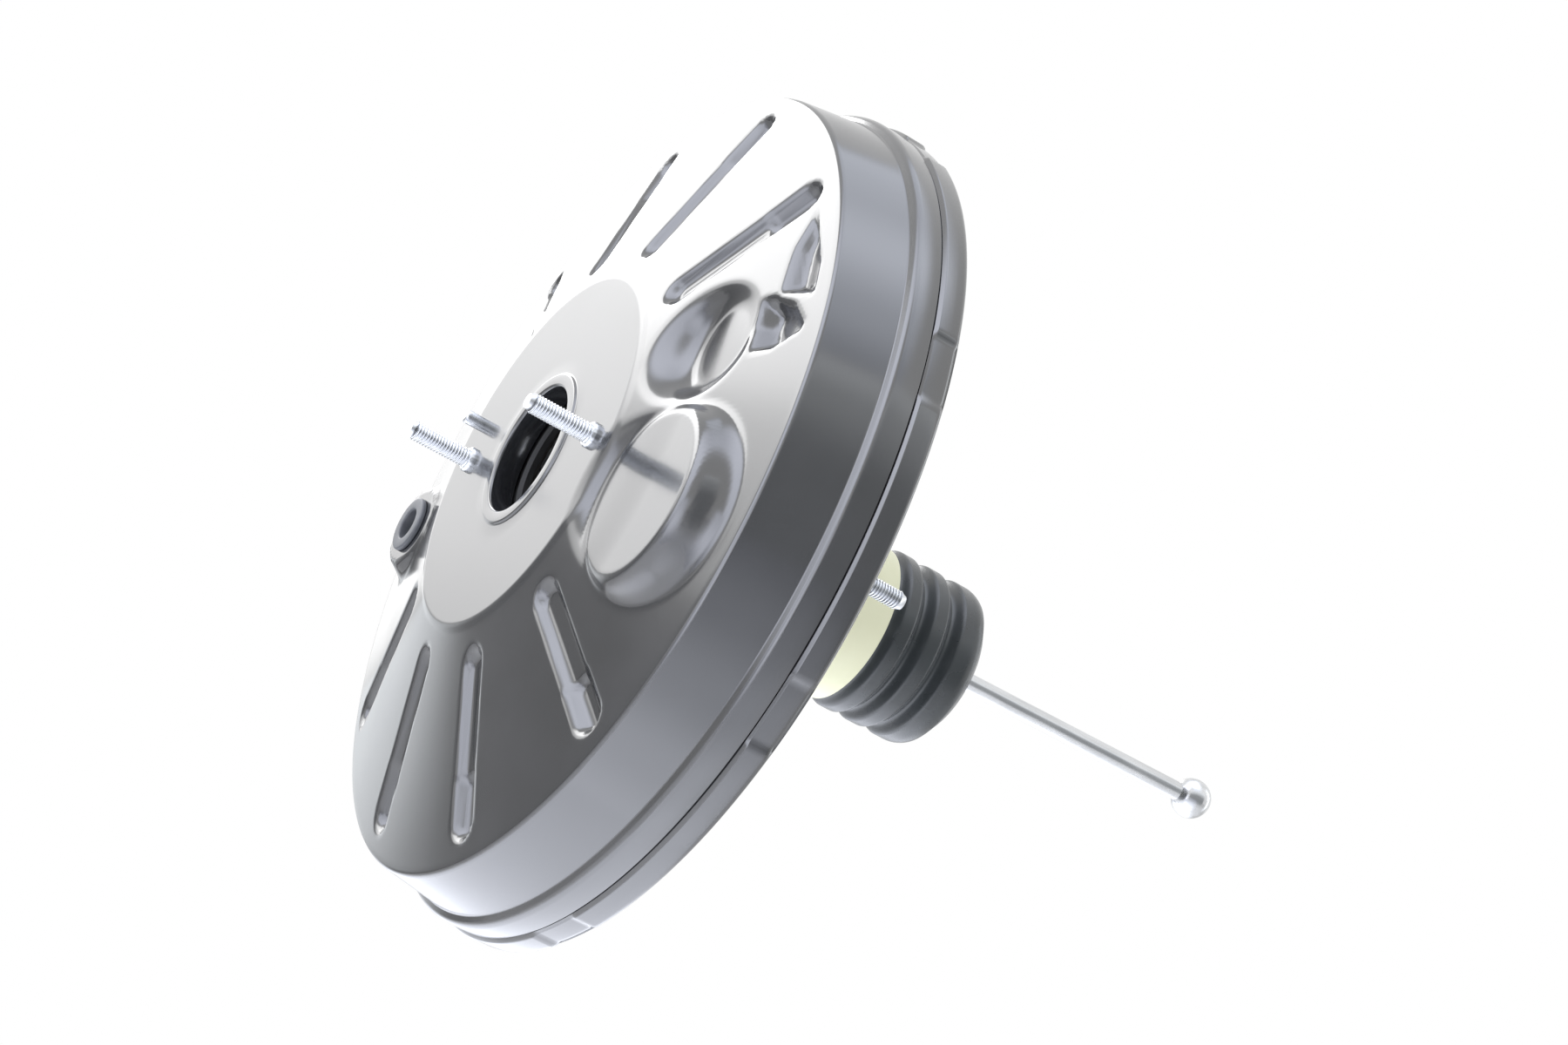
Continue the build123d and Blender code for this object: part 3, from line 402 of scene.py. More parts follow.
# %% [markdown]
# ## Turned pieces
#
# Most of a booster is round about one axis. A cylinder could be shaped by insets and bevels,
# but its measures would be hard to keep. So a turned piece starts as a circle of vertices that
# is laid onto the half section of the piece, in the plane through the axis, and a Screw
# modifier takes it once round. Corners get their press or mould radius in the half section.

# %% Turning tools
MERGE = 0.00001              # points nearer than this, in metres, become one
THINNEST = 0.000005          # faces thinner than this are dissolved


def rounded(points, steps=4):
    """Half section with its corners rounded. Each point is (radius, place, corner radius)."""
    made = []
    for number, (x, y, corner) in enumerate(points):
        here = Vector((x, y))
        if not corner:
            made.append((x, y))
            continue
        before = Vector(points[number - 1][:2]) - here
        after = Vector(points[(number + 1) % len(points)][:2]) - here
        half = before.angle(after) / 2
        reach = min(corner / math.tan(half), 0.49 * before.length, 0.49 * after.length)
        centre = here + (before.normalized() + after.normalized()).normalized() * (
            reach / math.cos(half))
        start = here + before.normalized() * reach - centre
        sweep = start.angle_signed(here + after.normalized() * reach - centre)
        for step in range(steps + 1):
            turned = start.copy()
            turned.rotate(Matrix.Rotation(-sweep * step / steps, 2))
            made.append((centre.x + turned.x, centre.y + turned.y))
    return made


def spun(name, section, steps, material, smooth=35.0):
    """A closed half section in millimetres, spun a whole turn about the booster's axis."""
    bpy.ops.object.select_all(action="DESELECT")
    bpy.ops.mesh.primitive_circle_add(vertices=len(section), radius=1, fill_type="NOTHING")
    piece = bpy.context.active_object
    piece.name = name
    for vertex, (radius, place) in zip(piece.data.vertices, section):
        vertex.co = (radius * MM, place * MM, 0)
    screw = piece.modifiers.new("turn", "SCREW")
    screw.axis = "Y"
    screw.steps = screw.render_steps = steps
    screw.use_merge_vertices = True
    screw.merge_threshold = MERGE
    bpy.ops.object.modifier_apply(modifier=screw.name)
    bpy.ops.object.mode_set(mode="EDIT")
    bpy.ops.mesh.select_all(action="SELECT")
    bpy.ops.mesh.remove_doubles(threshold=MERGE)
    bpy.ops.mesh.dissolve_degenerate(threshold=THINNEST)
    bpy.ops.mesh.select_all(action="SELECT")
    bpy.ops.mesh.normals_make_consistent(inside=False)
    bpy.ops.object.mode_set(mode="OBJECT")
    piece.data.materials.append(material)
    bpy.ops.object.shade_smooth_by_angle(angle=math.radians(smooth))
    print(name, "faces", len(piece.data.polygons))
    return piece


def points_of(piece):
    """The piece's points in millimetres, as rows of x, y, z."""
    flat = np.zeros(len(piece.data.vertices) * 3)
    piece.data.vertices.foreach_get("co", flat)
    return flat.reshape(-1, 3) / MM


def move_points(piece, points):
    """Puts the piece's points where the rows say, in millimetres."""
    piece.data.vertices.foreach_set("co", (points * MM).ravel())
    piece.data.update()


def placed(piece, x, z):
    """Moves a turned piece off the booster's axis, in its mesh."""
    move_points(piece, points_of(piece) + np.array([x, 0, z]))
    return piece


print("turning tools ready, points merge below", MERGE / MM, "mm")

# %% [markdown]
# ## Front shell
#
# The front shell is one pressing with the pad that carries the master cylinder, a shallow
# cone, the drum's wall and the skirt that the rear shell grips. A flat disc could be bent to
# shape, but a turned section keeps both skins a sheet apart. The outside of the cone gets a
# dense mesh, because the pressed forms are pushed into it in the next step. Its inside hardly
# shows, so it is coarser. All sizes are in millimetres, and places run along the booster's
# axis from the firewall face, negative towards the master cylinder.

# %% Front shell section
SHEET = 1.6
PAD = -79.5
PAD_RADIUS = 57.0
PAD_FOOT = 60.0
PAD_STEP = 1.1
CORNER = -60.7
CORNER_RADIUS = 127.7
WALL_REAR = -40.4
WALL_REAR_RADIUS = 131.0
BAND = 134.0
BAND_FRONT = -38.6
HOOK_FRONT = -30.8
SKIRT = 133.3
SKIRT_END = -23.7
CONE_SLOPE = (CORNER - PAD - PAD_STEP) / (CORNER_RADIUS - PAD_FOOT)
FORM_INNER = 47.0            # pressed forms lie between these radii
FORM_OUTER = 125.0
OPENING = 20.3               # the master cylinder's opening, inside its turned-in collar
COLLAR_RADIUS = 21.9
COLLAR_END = -71.5
LIP = PAD - 0.8              # a rolled lip stands proud of the pad round the opening
LIP_TOP = 24.4
LIP_FOOT = 24.8
FINE = 1.0                   # mesh spacing on the outside of the cone
COARSE = 3.2                 # and on its inside
TURN_STEPS = 470


def face_place(radius):
    """Place along the axis of the plain pad and cone at a radius."""
    step = np.clip((radius - PAD_RADIUS) / (PAD_FOOT - PAD_RADIUS), 0, 1)
    step = step * step * (3 - 2 * step)
    cone = PAD + PAD_STEP + np.maximum(radius - PAD_FOOT, 0) * CONE_SLOPE
    return np.where(radius < PAD_FOOT, PAD + PAD_STEP * step, cone)


def face_run(inner, outer, spacing, inside):
    """Points along the pad and cone, from one radius to another."""
    count = int(round(abs(outer - inner) / spacing))
    radii = np.linspace(inner, outer, count + 1)
    return [(float(r), float(face_place(r)) + inside) for r in radii]


lip = rounded([(OPENING, COLLAR_END, 0.5), (OPENING, LIP, 1.0), (LIP_TOP, LIP, 1.4),
               (LIP_FOOT, PAD, 0.6), (30.0, PAD, 0)], 5)
outside = face_run(36.0, FORM_OUTER, FINE, 0)
drum = rounded([(FORM_OUTER, float(face_place(FORM_OUTER)), 0), (CORNER_RADIUS, CORNER, 5.0),
                (WALL_REAR_RADIUS, WALL_REAR, 0.8), (BAND, BAND_FRONT - 0.4, 3.0),
                (BAND, HOOK_FRONT - 0.4, 0.3), (SKIRT, HOOK_FRONT - 0.1, 0.1),
                (SKIRT, SKIRT_END, 0), (SKIRT - SHEET, SKIRT_END, 0),
                (SKIRT - SHEET, HOOK_FRONT - 1.2, 0.6), (BAND - SHEET, HOOK_FRONT - 2.2, 0.8),
                (BAND - SHEET, BAND_FRONT + 0.8, 0.8), (WALL_REAR_RADIUS - SHEET, WALL_REAR + 0.8, 1.0),
                (CORNER_RADIUS - SHEET, CORNER + SHEET, 3.4),
                (FORM_OUTER, float(face_place(FORM_OUTER)) + SHEET, 0)], 4)[1:-1]
inside = face_run(FORM_OUTER, 46.0, COARSE, SHEET)
collar = rounded([(40.0, PAD + SHEET, 0), (COLLAR_RADIUS, PAD + SHEET, 1.2),
                  (COLLAR_RADIUS, COLLAR_END, 0.5)], 3)
front_shell = spun("front_shell_pressing", lip + outside + drum + inside + collar, TURN_STEPS,
                   GLOSS_BLACK, smooth=50.0)

# %% [markdown]
# ## Pressed forms
#
# Eight stiffening grooves run out over the cone. Round the pad lie a large raised flat, a deep
# round recess, a gusset, a dimple and the boss of the check valve. Cutting them with booleans
# would leave sharp edges that are hard to round. So each form says how high the sheet may
# be at a point, and smooth minimums and maximums join the forms with a press radius.

# %% Sizes of the pressed forms
GROOVE_ANGLES = [sign * (43.5 + 32.0 * number) for number in range(4) for sign in (1, -1)]
FORM_RISE = 1 / math.tan(math.radians(35.0))
GROOVE_RISE = 1 / math.tan(math.radians(40.0))
DISH_RISE = 1 / math.tan(math.radians(38.0))
SOFT_RISE = 1 / math.tan(math.radians(50.0))
FLAT = (85.0, -18.53, 26.3)  # the large round flat: x, z and radius
FLAT_LEVEL = PAD + 5.0
FLANK_FALL = 11.7 / 6.3      # slope of the flat's flank, down to the recess
RECESS = (79.5, 31.48, 14.7)
RECESS_LEVEL = PAD + 12.1
GROMMET = (-90.602, -15.976, 13.0)
GROMMET_RISE = 3.5
GROMMET_FALL = 1.4           # slope of the boss round the grommet
GROOVE_RUN = (70.5, 115.5)   # radii at which the middle line of a groove starts and ends
GROOVE_HALF_WIDTH = 3.0
GROOVE_DEPTH = 3.0
POCKET_RUN = (103.5, 115.0)  # a deeper pocket at the outer end of each groove
POCKET_HALF_WIDTH = 2.2
POCKET_DEPTH = 4.6
GUSSET_DEPTH = 3.2
DIMPLE_DEPTH = 4.6
FLAT_FLOOR_BEND = 1.5        # how softly each form joins the sheet round it
FLAT_EDGE_BEND = 3.0
FLAT_TOP_BEND = 3.2
FLAT_FOOT_BEND = 4.0
RECESS_FLOOR_BEND = 4.0
RECESS_EDGE_BEND = 4.5
OUTLINE_BEND = 1.4
GROOVE_FLOOR_BEND = 0.7
GROOVE_EDGE_BEND = 1.1
POCKET_BEND = 0.5
GROMMET_BEND = 1.6
GUSSET = [(93.0, 75.0), (94.6, 60.9), (99.6, 47.5), (113.0, 45.4), (108.0, 56.9)]
DIMPLE = [(99.0, 28.6), (94.4, 36.1), (93.5, 43.0), (97.0, 44.4), (107.0, 43.5), (116.0, 37.5),
          (116.0, 33.9), (106.0, 28.4)]
print("pressed forms:", len(GROOVE_ANGLES), "grooves and 5 forms round the pad")

# %% Pressing tools


def low_of(a, b, blend):
    """The lower of two heights, joined by a press radius."""
    share = np.clip(0.5 + 0.5 * (b - a) / blend, 0, 1)
    return b + (a - b) * share - blend * share * (1 - share)


def high_of(a, b, blend):
    """The higher of two heights, joined by a press radius."""
    return -low_of(-a, -b, blend)


def past_slot(x, z, angle, start, end):
    """Distance from a radial line between two radii."""
    turn = math.radians(angle)
    along = x * math.cos(turn) + z * math.sin(turn)
    across = -x * math.sin(turn) + z * math.cos(turn)
    return np.hypot(along - np.clip(along, start, end), across)


def past_outline(x, z, corners):
    """Signed distance from a closed outline, negative inside."""
    distance = np.full_like(x, 1e9)
    inside = np.zeros(len(x), bool)
    for number, (ax, az) in enumerate(corners):
        bx, bz = corners[number - 1]
        share = ((x - ax) * (bx - ax) + (z - az) * (bz - az)) / ((bx - ax) ** 2 + (bz - az) ** 2)
        share = np.clip(share, 0, 1)
        beside_x, beside_z = x - ax - share * (bx - ax), z - az - share * (bz - az)
        distance = np.minimum(distance, np.hypot(beside_x, beside_z))
        if az != bz:
            crosses = ((az > z) != (bz > z)) & (x < (bx - ax) * (z - az) / (bz - az) + ax)
            inside ^= crosses
    return np.where(inside, -distance, distance)


print("pressing tools ready, two equal heights of 1 mm blend to",
      round(float(low_of(np.array(1.0), np.array(1.0), 1.0)), 2), "mm")

# %% Press the forms into the shell
FORM_REAR = -50              # no form reaches behind this place


def pressed_height(x, z):
    """How much the pressed forms raise the sheet towards the front. Below zero is sunk."""
    radius = np.hypot(x, z)
    plain = -face_place(radius)
    past = np.hypot(x - FLAT[0], z - FLAT[1]) - FLAT[2]
    flat = high_of(-FLAT_LEVEL + 0 * x, -FLAT_LEVEL + past * SOFT_RISE, FLAT_FLOOR_BEND)
    height = low_of(plain, flat, FLAT_EDGE_BEND)
    recess = np.hypot(x - RECESS[0], z - RECESS[1]) - RECESS[2]
    dish = high_of(-RECESS_LEVEL + 0 * x, -RECESS_LEVEL + recess * DISH_RISE, RECESS_FLOOR_BEND)
    height = low_of(height, dish, RECESS_EDGE_BEND)
    boss = low_of(-FLAT_LEVEL + 0 * x, -FLAT_LEVEL - past * FLANK_FALL, FLAT_TOP_BEND)
    height = high_of(height, boss, FLAT_FOOT_BEND)
    for corners, depth in ((GUSSET, GUSSET_DEPTH), (DIMPLE, DIMPLE_DEPTH)):
        middle_x = sum(corner[0] for corner in corners) / len(corners)
        middle_z = sum(corner[1] for corner in corners) / len(corners)
        level = -float(face_place(math.hypot(middle_x, middle_z))) - depth
        past = past_outline(x, z, corners) + depth / FORM_RISE
        height = low_of(height, level + np.maximum(past, 0) * FORM_RISE, OUTLINE_BEND)
    for angle in GROOVE_ANGLES:
        past = past_slot(x, z, angle, *GROOVE_RUN) - GROOVE_HALF_WIDTH
        bottom = plain - GROOVE_DEPTH
        groove = high_of(bottom, bottom + past * GROOVE_RISE, GROOVE_FLOOR_BEND)
        height = low_of(height, groove, GROOVE_EDGE_BEND)
        past = np.maximum(past_slot(x, z, angle, *POCKET_RUN) - POCKET_HALF_WIDTH, 0)
        height = low_of(height, plain - POCKET_DEPTH + past * GROOVE_RISE, POCKET_BEND)
    past = np.maximum(np.hypot(x - GROMMET[0], z - GROMMET[1]) - GROMMET[2], 0)
    top = -float(face_place(math.hypot(GROMMET[0], GROMMET[1]))) + GROMMET_RISE
    height = high_of(height, top - past * GROMMET_FALL, GROMMET_BEND)
    return height - plain


points = points_of(front_shell)
radius = np.hypot(points[:, 0], points[:, 2])
formed = (radius > FORM_INNER) & (radius < FORM_OUTER - 0.01) & (points[:, 1] < FORM_REAR)
points[formed, 1] -= pressed_height(points[formed, 0], points[formed, 2])
move_points(front_shell, points)
print("pressed forms: moved", int(formed.sum()), "points, rearmost form at",
      round(float(points[formed, 1].max()), 1), "mm")

# %% [markdown]
# ## Check valve hole
#
# The check valve's hole goes through the boss at the left. A boolean could cut it, but it would
# leave long thin faces. Instead the faces inside the hole are deleted on both skins, and the
# two open loops are bridged, so that the sheet stays closed. The grommet's lips cover the edge.

# %% Check valve hole
HOLE_RADIUS = 7.5
bpy.ops.object.select_all(action="DESELECT")
bpy.context.view_layer.objects.active = front_shell
front_shell.select_set(True)
bpy.ops.object.mode_set(mode="EDIT")
bpy.ops.mesh.select_mode(type="FACE")
bpy.ops.mesh.select_all(action="DESELECT")
bpy.ops.object.mode_set(mode="OBJECT")
for face in front_shell.data.polygons:
    centre = face.center / MM
    if math.hypot(centre.x - GROMMET[0], centre.z - GROMMET[1]) < HOLE_RADIUS:
        face.select = True
bpy.ops.object.mode_set(mode="EDIT")
bpy.ops.mesh.delete(type="FACE")
bpy.ops.mesh.select_mode(type="VERT")
bpy.ops.mesh.select_all(action="DESELECT")
bpy.ops.mesh.select_non_manifold(extend=False, use_wire=False, use_multi_face=False,
                                 use_non_contiguous=False, use_verts=False)
bpy.ops.mesh.bridge_edge_loops()
bpy.ops.object.mode_set(mode="OBJECT")
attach(front_shell, "housing")
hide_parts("front_shell")
print("front shell faces", len(front_shell.data.polygons))

# %% [markdown]
# ## Rear shell
#
# The rear shell closes the drum: its rim is rolled over the front shell's skirt and staked
# in eight places, which lowers the rim a little there. Its neck guides the valve body. The
# notches could be cut one by one, but a staked notch is the same sheet pushed in. So the
# points of the rim are moved towards the axis between two angles.

# %% Rear shell
RIM = 135.0
RIM_REAR = -22.0
HOOK_INSIDE = RIM - SHEET
NOTCH_DEPTH = 0.9
NOTCH_FIRST = 17.0           # degrees
NOTCH_WIDTH = 9.0            # degrees
NOTCHES = 8
REAR_CONE = (126.0, 66.0)    # radii of the rear cone, from the rim to its step
STEP = -6.4                  # place of the step round the firewall face
FACE_RADIUS = 60.0
NECK_OUTSIDE = 22.5
NECK_INSIDE = 21.0
NECK_END = 33.0
REAR_TURN_STEPS = 720
rear_section = rounded([
    (HOOK_INSIDE, HOOK_FRONT, 0.1), (RIM - 1.3, HOOK_FRONT, 0.3), (RIM, HOOK_FRONT + 1.0, 0.6),
    (RIM, -26.5, 0), (RIM, RIM_REAR, 2.4), (REAR_CONE[0], RIM_REAR, 2.0), (REAR_CONE[1], STEP, 3.0),
    (FACE_RADIUS, 0, 2.5), (42.0, 0, 0), (NECK_OUTSIDE, 0, 1.0), (NECK_OUTSIDE, NECK_END, 0.4),
    (NECK_INSIDE, NECK_END, 0.4), (NECK_INSIDE, -SHEET, 1.5), (FACE_RADIUS - 0.8, -SHEET, 2.0),
    (65.2, STEP - SHEET, 2.5), (REAR_CONE[0], RIM_REAR - SHEET, 1.6),
    (HOOK_INSIDE, RIM_REAR - SHEET, 0)], 5)
rear_shell = spun("rear_shell_pressing", rear_section, REAR_TURN_STEPS, GLOSS_BLACK, smooth=50.0)
points = points_of(rear_shell)
radius = np.hypot(points[:, 0], points[:, 2])
turn = np.degrees(np.arctan2(points[:, 2], points[:, 0]))
pitch = 360.0 / NOTCHES
from_notch = np.abs((turn - NOTCH_FIRST + pitch / 2) % pitch - pitch / 2)
share = np.clip(NOTCH_WIDTH / 2 + 0.5 - from_notch, 0, 1)
outer = (radius > RIM - 1.0) & (points[:, 1] < RIM_REAR + 1)
shrink = 1 - np.where(outer, NOTCH_DEPTH * share, 0) / radius
points[:, 0] *= shrink
points[:, 2] *= shrink
move_points(rear_shell, points)
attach(rear_shell, "housing")
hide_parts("rear_shell")
print("rear shell:", NOTCHES, "notches,", NOTCH_DEPTH, "mm deep")

# %% [markdown]
# ## Studs
#
# Six M6 studs are pressed into the shells: two carry the master cylinder and four hold the
# booster to the firewall. A thread could be a bump in the finish, but its outline shows at the
# edge. So a stud is turned with rings close together, and its thread is a wave that climbs one
# pitch a turn. The shank that bites into the sheet is knurled, which is a wave round the stud.

# %% Stud builder
PITCH = 1.0
THREAD_DEPTH = 0.5
THREAD = 3.0                 # outside radius of the thread
RING_GAP = 0.14              # between the rings along the thread
SHANK = 4.0
HEAD = 6.0
HEAD_THICKNESS = 3.2
KNURLS = 16
KNURL_DEPTH = 0.22
POINT_LENGTH = 1.6           # plain point after the thread
STUD_TURN_STEPS = 48


def stud(name, head_face, shoulder, tip, material):
    """One stud on the booster's axis, from its head inside the shell to its point."""
    outward = 1 if tip > head_face else -1
    thread_start = shoulder + outward * 0.1
    thread_end = tip - outward * POINT_LENGTH
    rings = int(abs(thread_end - thread_start) / RING_GAP)
    head_end = head_face - outward * HEAD_THICKNESS
    section = rounded([(0, head_end, 0), (HEAD, head_end, 0.6), (HEAD, head_face, 0.3),
                       (SHANK, head_face, 0.2)], 3)
    knurl = np.linspace(head_face + outward * 0.3, shoulder - outward * 0.5, 8)
    section += [(SHANK, float(place)) for place in knurl]
    section += [(SHANK - 0.4, shoulder)]
    section += [(THREAD, float(place)) for place in np.linspace(thread_start, thread_end, rings)]
    section += [(THREAD - 0.8, tip), (0, tip)]
    made = spun(name, section, STUD_TURN_STEPS, material, smooth=40.0)
    points = points_of(made)
    radius = np.hypot(points[:, 0], points[:, 2])
    turn = np.arctan2(points[:, 2], points[:, 0]) / (2 * math.pi)
    on_thread = np.abs(radius - THREAD) < 0.05
    wave = np.abs((points[:, 1] / PITCH - turn) % 1.0 - 0.5) * 2
    cut = THREAD_DEPTH * (1 - np.clip(wave * 1.35 - 0.15, 0, 1))
    fade = np.clip(np.abs(points[:, 1] - shoulder) / 1.2, 0.15, 1)
    lower = np.where(on_thread, cut * fade, 0)
    on_knurl = (np.abs(radius - SHANK) < 0.05) & (np.abs(points[:, 1] - head_face) > 0.2)
    lower += np.where(on_knurl, KNURL_DEPTH * (0.5 - 0.5 * np.cos(turn * 2 * math.pi * KNURLS)), 0)
    shrink = 1 - np.where(radius > 1, lower / np.maximum(radius, 1), 0)
    points[:, 0] *= shrink
    points[:, 2] *= shrink
    move_points(made, points)
    return made


def copied(piece, name, x, z):
    """A copy of a finished piece with a mesh of its own, moved off the axis."""
    made = piece.copy()
    made.data = piece.data.copy()
    made.name = name
    bpy.context.scene.collection.objects.link(made)
    return placed(made, x, z)


print("stud builder: M", int(2 * THREAD), "pitch", PITCH, "mm")

# %% Studs
FRONT_STUD = 45.0            # from the axis
REAR_STUD = 48.0
FRONT_STAND = 22.0           # how far the studs stand out
REAR_STAND = 28.0
FRONT_HEAD_FACE = PAD + SHEET + 3.2
REAR_HEAD_FACE = -SHEET - 2.7
front_stud = stud("front_stud_right", FRONT_HEAD_FACE, PAD - 1.7, PAD - FRONT_STAND, BRIGHT_ZINC)
front_stud_left = copied(front_stud, "front_stud_left", -FRONT_STUD, 0)
placed(front_stud, FRONT_STUD, 0)
rear_stud = stud("rear_stud_right", REAR_HEAD_FACE, 0.0, REAR_STAND, BRIGHT_ZINC)
rear_studs = [rear_stud] + [copied(rear_stud, "rear_stud_" + side, x, z) for side, x, z in (
    ("left", -REAR_STUD, 0), ("top", 0, REAR_STUD), ("bottom", 0, -REAR_STUD))]
placed(rear_stud, REAR_STUD, 0)
for piece in [front_stud, front_stud_left] + rear_studs:
    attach(piece, "housing")
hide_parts("front_studs")
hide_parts("front_studs")
for piece in rear_studs:
    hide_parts("rear_studs")
print("studs: 2 in front and", len(rear_studs), "behind")

# %% [markdown]
# ## Locating pin
#
# A small pin beside the left stud locates what is bolted to the pad. A bevelled cylinder would
# do, but it is turned like the studs, so that it is made and placed by the same tools.

# %% Locating pin
PIN_RADIUS = 2.2
PIN_NOSE = PAD - 6.0
PIN_END = PAD + SHEET + 3.1
PIN_PLACE = (-50.0, 13.0)    # x and z
PIN_TURN_STEPS = 32
pin = spun("locating_pin_turned", rounded([(0, PIN_NOSE, 0), (PIN_RADIUS, PIN_NOSE, 0.9),
           (PIN_RADIUS, PIN_END, 0.2), (0, PIN_END, 0)]), PIN_TURN_STEPS, BRIGHT_ZINC)
placed(pin, *PIN_PLACE)
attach(pin, "housing")
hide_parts("locating_pin")

# %% [markdown]
# ## Grommet
#
# The check valve plugs into a rubber grommet, a spool with a groove that holds the sheet. A
# torus would give its lips but not the groove, so it is turned too, with generous corners.

# %% Grommet
TOP = float(face_place(math.hypot(GROMMET[0], GROMMET[1]))) - GROMMET_RISE
PORT = 5.0                   # radius of the hole for the valve's stem
GROMMET_LIP = 9.0
GROMMET_WAIST = 7.4
GROMMET_TURN_STEPS = 64
grommet = spun("check_valve_grommet_moulded", rounded([
    (PORT, TOP - 1.7, 0.6), (GROMMET_LIP, TOP - 1.7, 0.7), (GROMMET_LIP, TOP - 0.1, 0.3),
    (GROMMET_WAIST, TOP - 0.1, 0.2), (GROMMET_WAIST, TOP + 1.7, 0.2), (GROMMET_LIP, TOP + 1.7, 0.3),
    (7.6, TOP + 4.9, 0.6), (PORT, TOP + 4.9, 0.5)]), GROMMET_TURN_STEPS, GROMMET_RUBBER)
placed(grommet, GROMMET[0], GROMMET[1])
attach(grommet, "housing")
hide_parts("check_valve_grommet")

# %% [markdown]
# ## Neck collar
#
# A cream plastic collar covers the shell's neck and holds the boot's front lip. It is the one
# light piece between black ones. It is a plain ring, turned with small rounded edges, because
# those edges catch the light and a sharp tube would look drawn.

# %% Neck collar
SLEEVE_INSIDE = 24.3
SLEEVE_OUTSIDE = 25.5
SLEEVE_FRONT = 2.5
SLEEVE_END = 37.7
SLEEVE_TURN_STEPS = 160
sleeve = spun("neck_collar", rounded([
    (SLEEVE_INSIDE, SLEEVE_FRONT, 0.3), (SLEEVE_OUTSIDE, SLEEVE_FRONT, 0.5),
    (SLEEVE_OUTSIDE, SLEEVE_END, 0.5), (SLEEVE_INSIDE, SLEEVE_END, 0.3)]),
    SLEEVE_TURN_STEPS, CREAM_PLASTIC)
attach(sleeve, "housing")
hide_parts("neck_sleeve")

# %% [markdown]
# ## Boot
#
# The boot keeps dirt out of the neck. It is thin black rubber in three rounded folds, and its
# nose grips the end of the valve body. Its folds could be an array of rings. Here one formula
# gives the radius along the boot, which keeps the crests round and the valleys narrow.

# %% Boot
BOOT_WALL = 1.6
BOOT_CREST = 26.5            # radius of the folds' crests
BOOT_MOUTH = 38.1            # the outside of the folds starts here
BOOT_TURN_STEPS = 144
FOLDS_END = 69.5
NOSE_START = 65.5            # the radius falls from here on, towards the nose
NOSE_LENGTH = 8.0
NOSE_FALL = 5.2
NOSE_CURVE = 2.2
NOSE_END = 72.9
NOSE_INSIDE = 14.8
VALLEY_REACH = 3.4           # half the width of a valley
valleys = [(BOOT_MOUTH, 24.2), (48.2, 23.6), (58.6, 23.6)]  # place and radius
stations = np.linspace(BOOT_MOUTH, FOLDS_END, 96)


def boot_radius(place):
    """Radius of the boot's skin along its folds: round crests and narrow valleys."""
    depth = 0.0
    for where, floor_radius in valleys:
        near = np.clip(1 - abs(place - where) / VALLEY_REACH, 0, 1)
        depth = max(depth, (BOOT_CREST - floor_radius) * near * near * (3 - 2 * near))
    nose = np.clip((place - NOSE_START) / NOSE_LENGTH, 0, 1)
    return BOOT_CREST - depth - NOSE_FALL * nose**NOSE_CURVE


outer_skin = [(float(boot_radius(place)), float(place)) for place in stations]
inner_skin = [(radius - BOOT_WALL, place - 0.4) for radius, place in outer_skin[::-1]
              if place < 67.0]
nose = rounded([(outer_skin[-1][0], FOLDS_END, 0), (20.6, NOSE_END, 2.0),
                (NOSE_INSIDE, NOSE_END, 0.8), (NOSE_INSIDE, 69.6, 0.3), (17.6, 69.6, 0.2),
                (17.6, 63.5, 0.5), (19.2, 63.5, 0.5), (19.2, 67.4, 0)], 4)[1:]
lip_end = rounded([(22.6, 37.9, 0), (22.6, 27.2, 0.4), (24.2, 27.2, 0.4), (24.2, 37.9, 0)], 3)
boot = spun("boot_moulded", outer_skin + nose + inner_skin + lip_end, BOOT_TURN_STEPS,
            BOOT_RUBBER, smooth=60.0)
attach(boot, "housing")
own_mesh(boot)
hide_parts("boot")

# %% [markdown]
# ## Input pushrod
#
# The pushrod joins the pedal to the plunger. Spheres and a cylinder would meet in hard seams.
# So it is turned as one piece, straight along the booster's axis, with a ball at each end,
# and then tilted up a little about its inner ball.

# %% Input pushrod
PIVOT = 8.0                  # place of the inner ball's centre
ROD_LENGTH = 164.5           # from one ball's centre to the other's
ROD_LIFT = 1.0               # tilt in degrees
INNER_BALL = 4.0
INNER_NECK = 2.6
ROD = 3.0                    # radius of the rod
OUTER_BALL = 6.5
ROD_TURN_STEPS = 64


def ball_points(centre, radius, neck, steps, rear_half):
    """Half section of a ball that meets a neck on one side."""
    start = math.asin(neck / radius)
    angles = np.linspace(0, math.pi - start, steps)
    run = [(radius * math.sin(a), radius * math.cos(a)) for a in angles]
    if rear_half:
        return [(r, centre + y) for r, y in run][::-1]
    return [(r, centre - y) for r, y in run]


rod_section = ball_points(0, INNER_BALL, INNER_NECK, 14, False)
rod_section += rounded([(INNER_NECK, 4.2, 0), (INNER_NECK, 8.6, 0.3), (ROD, 9.4, 0.3),
                        (ROD, 27.0, 0)], 2)
rod_section += [(ROD, float(place)) for place in np.linspace(34.0, ROD_LENGTH - 14.0, 12)]
rod_section += ball_points(ROD_LENGTH, OUTER_BALL, ROD, 22, True)
rod = spun("input_pushrod_turned", rod_section, ROD_TURN_STEPS, BRIGHT_STEEL, smooth=40.0)
points = points_of(rod)
lift = math.radians(ROD_LIFT)
turned = points.copy()
turned[:, 1] = PIVOT + points[:, 1] * math.cos(lift) - points[:, 2] * math.sin(lift)
turned[:, 2] = points[:, 1] * math.sin(lift) + points[:, 2] * math.cos(lift)
move_points(rod, turned)
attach(rod, "pushrod")
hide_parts("input_pushrod")
print("pushrod: outer ball's centre at", round(PIVOT + ROD_LENGTH * math.cos(lift), 1), "mm")
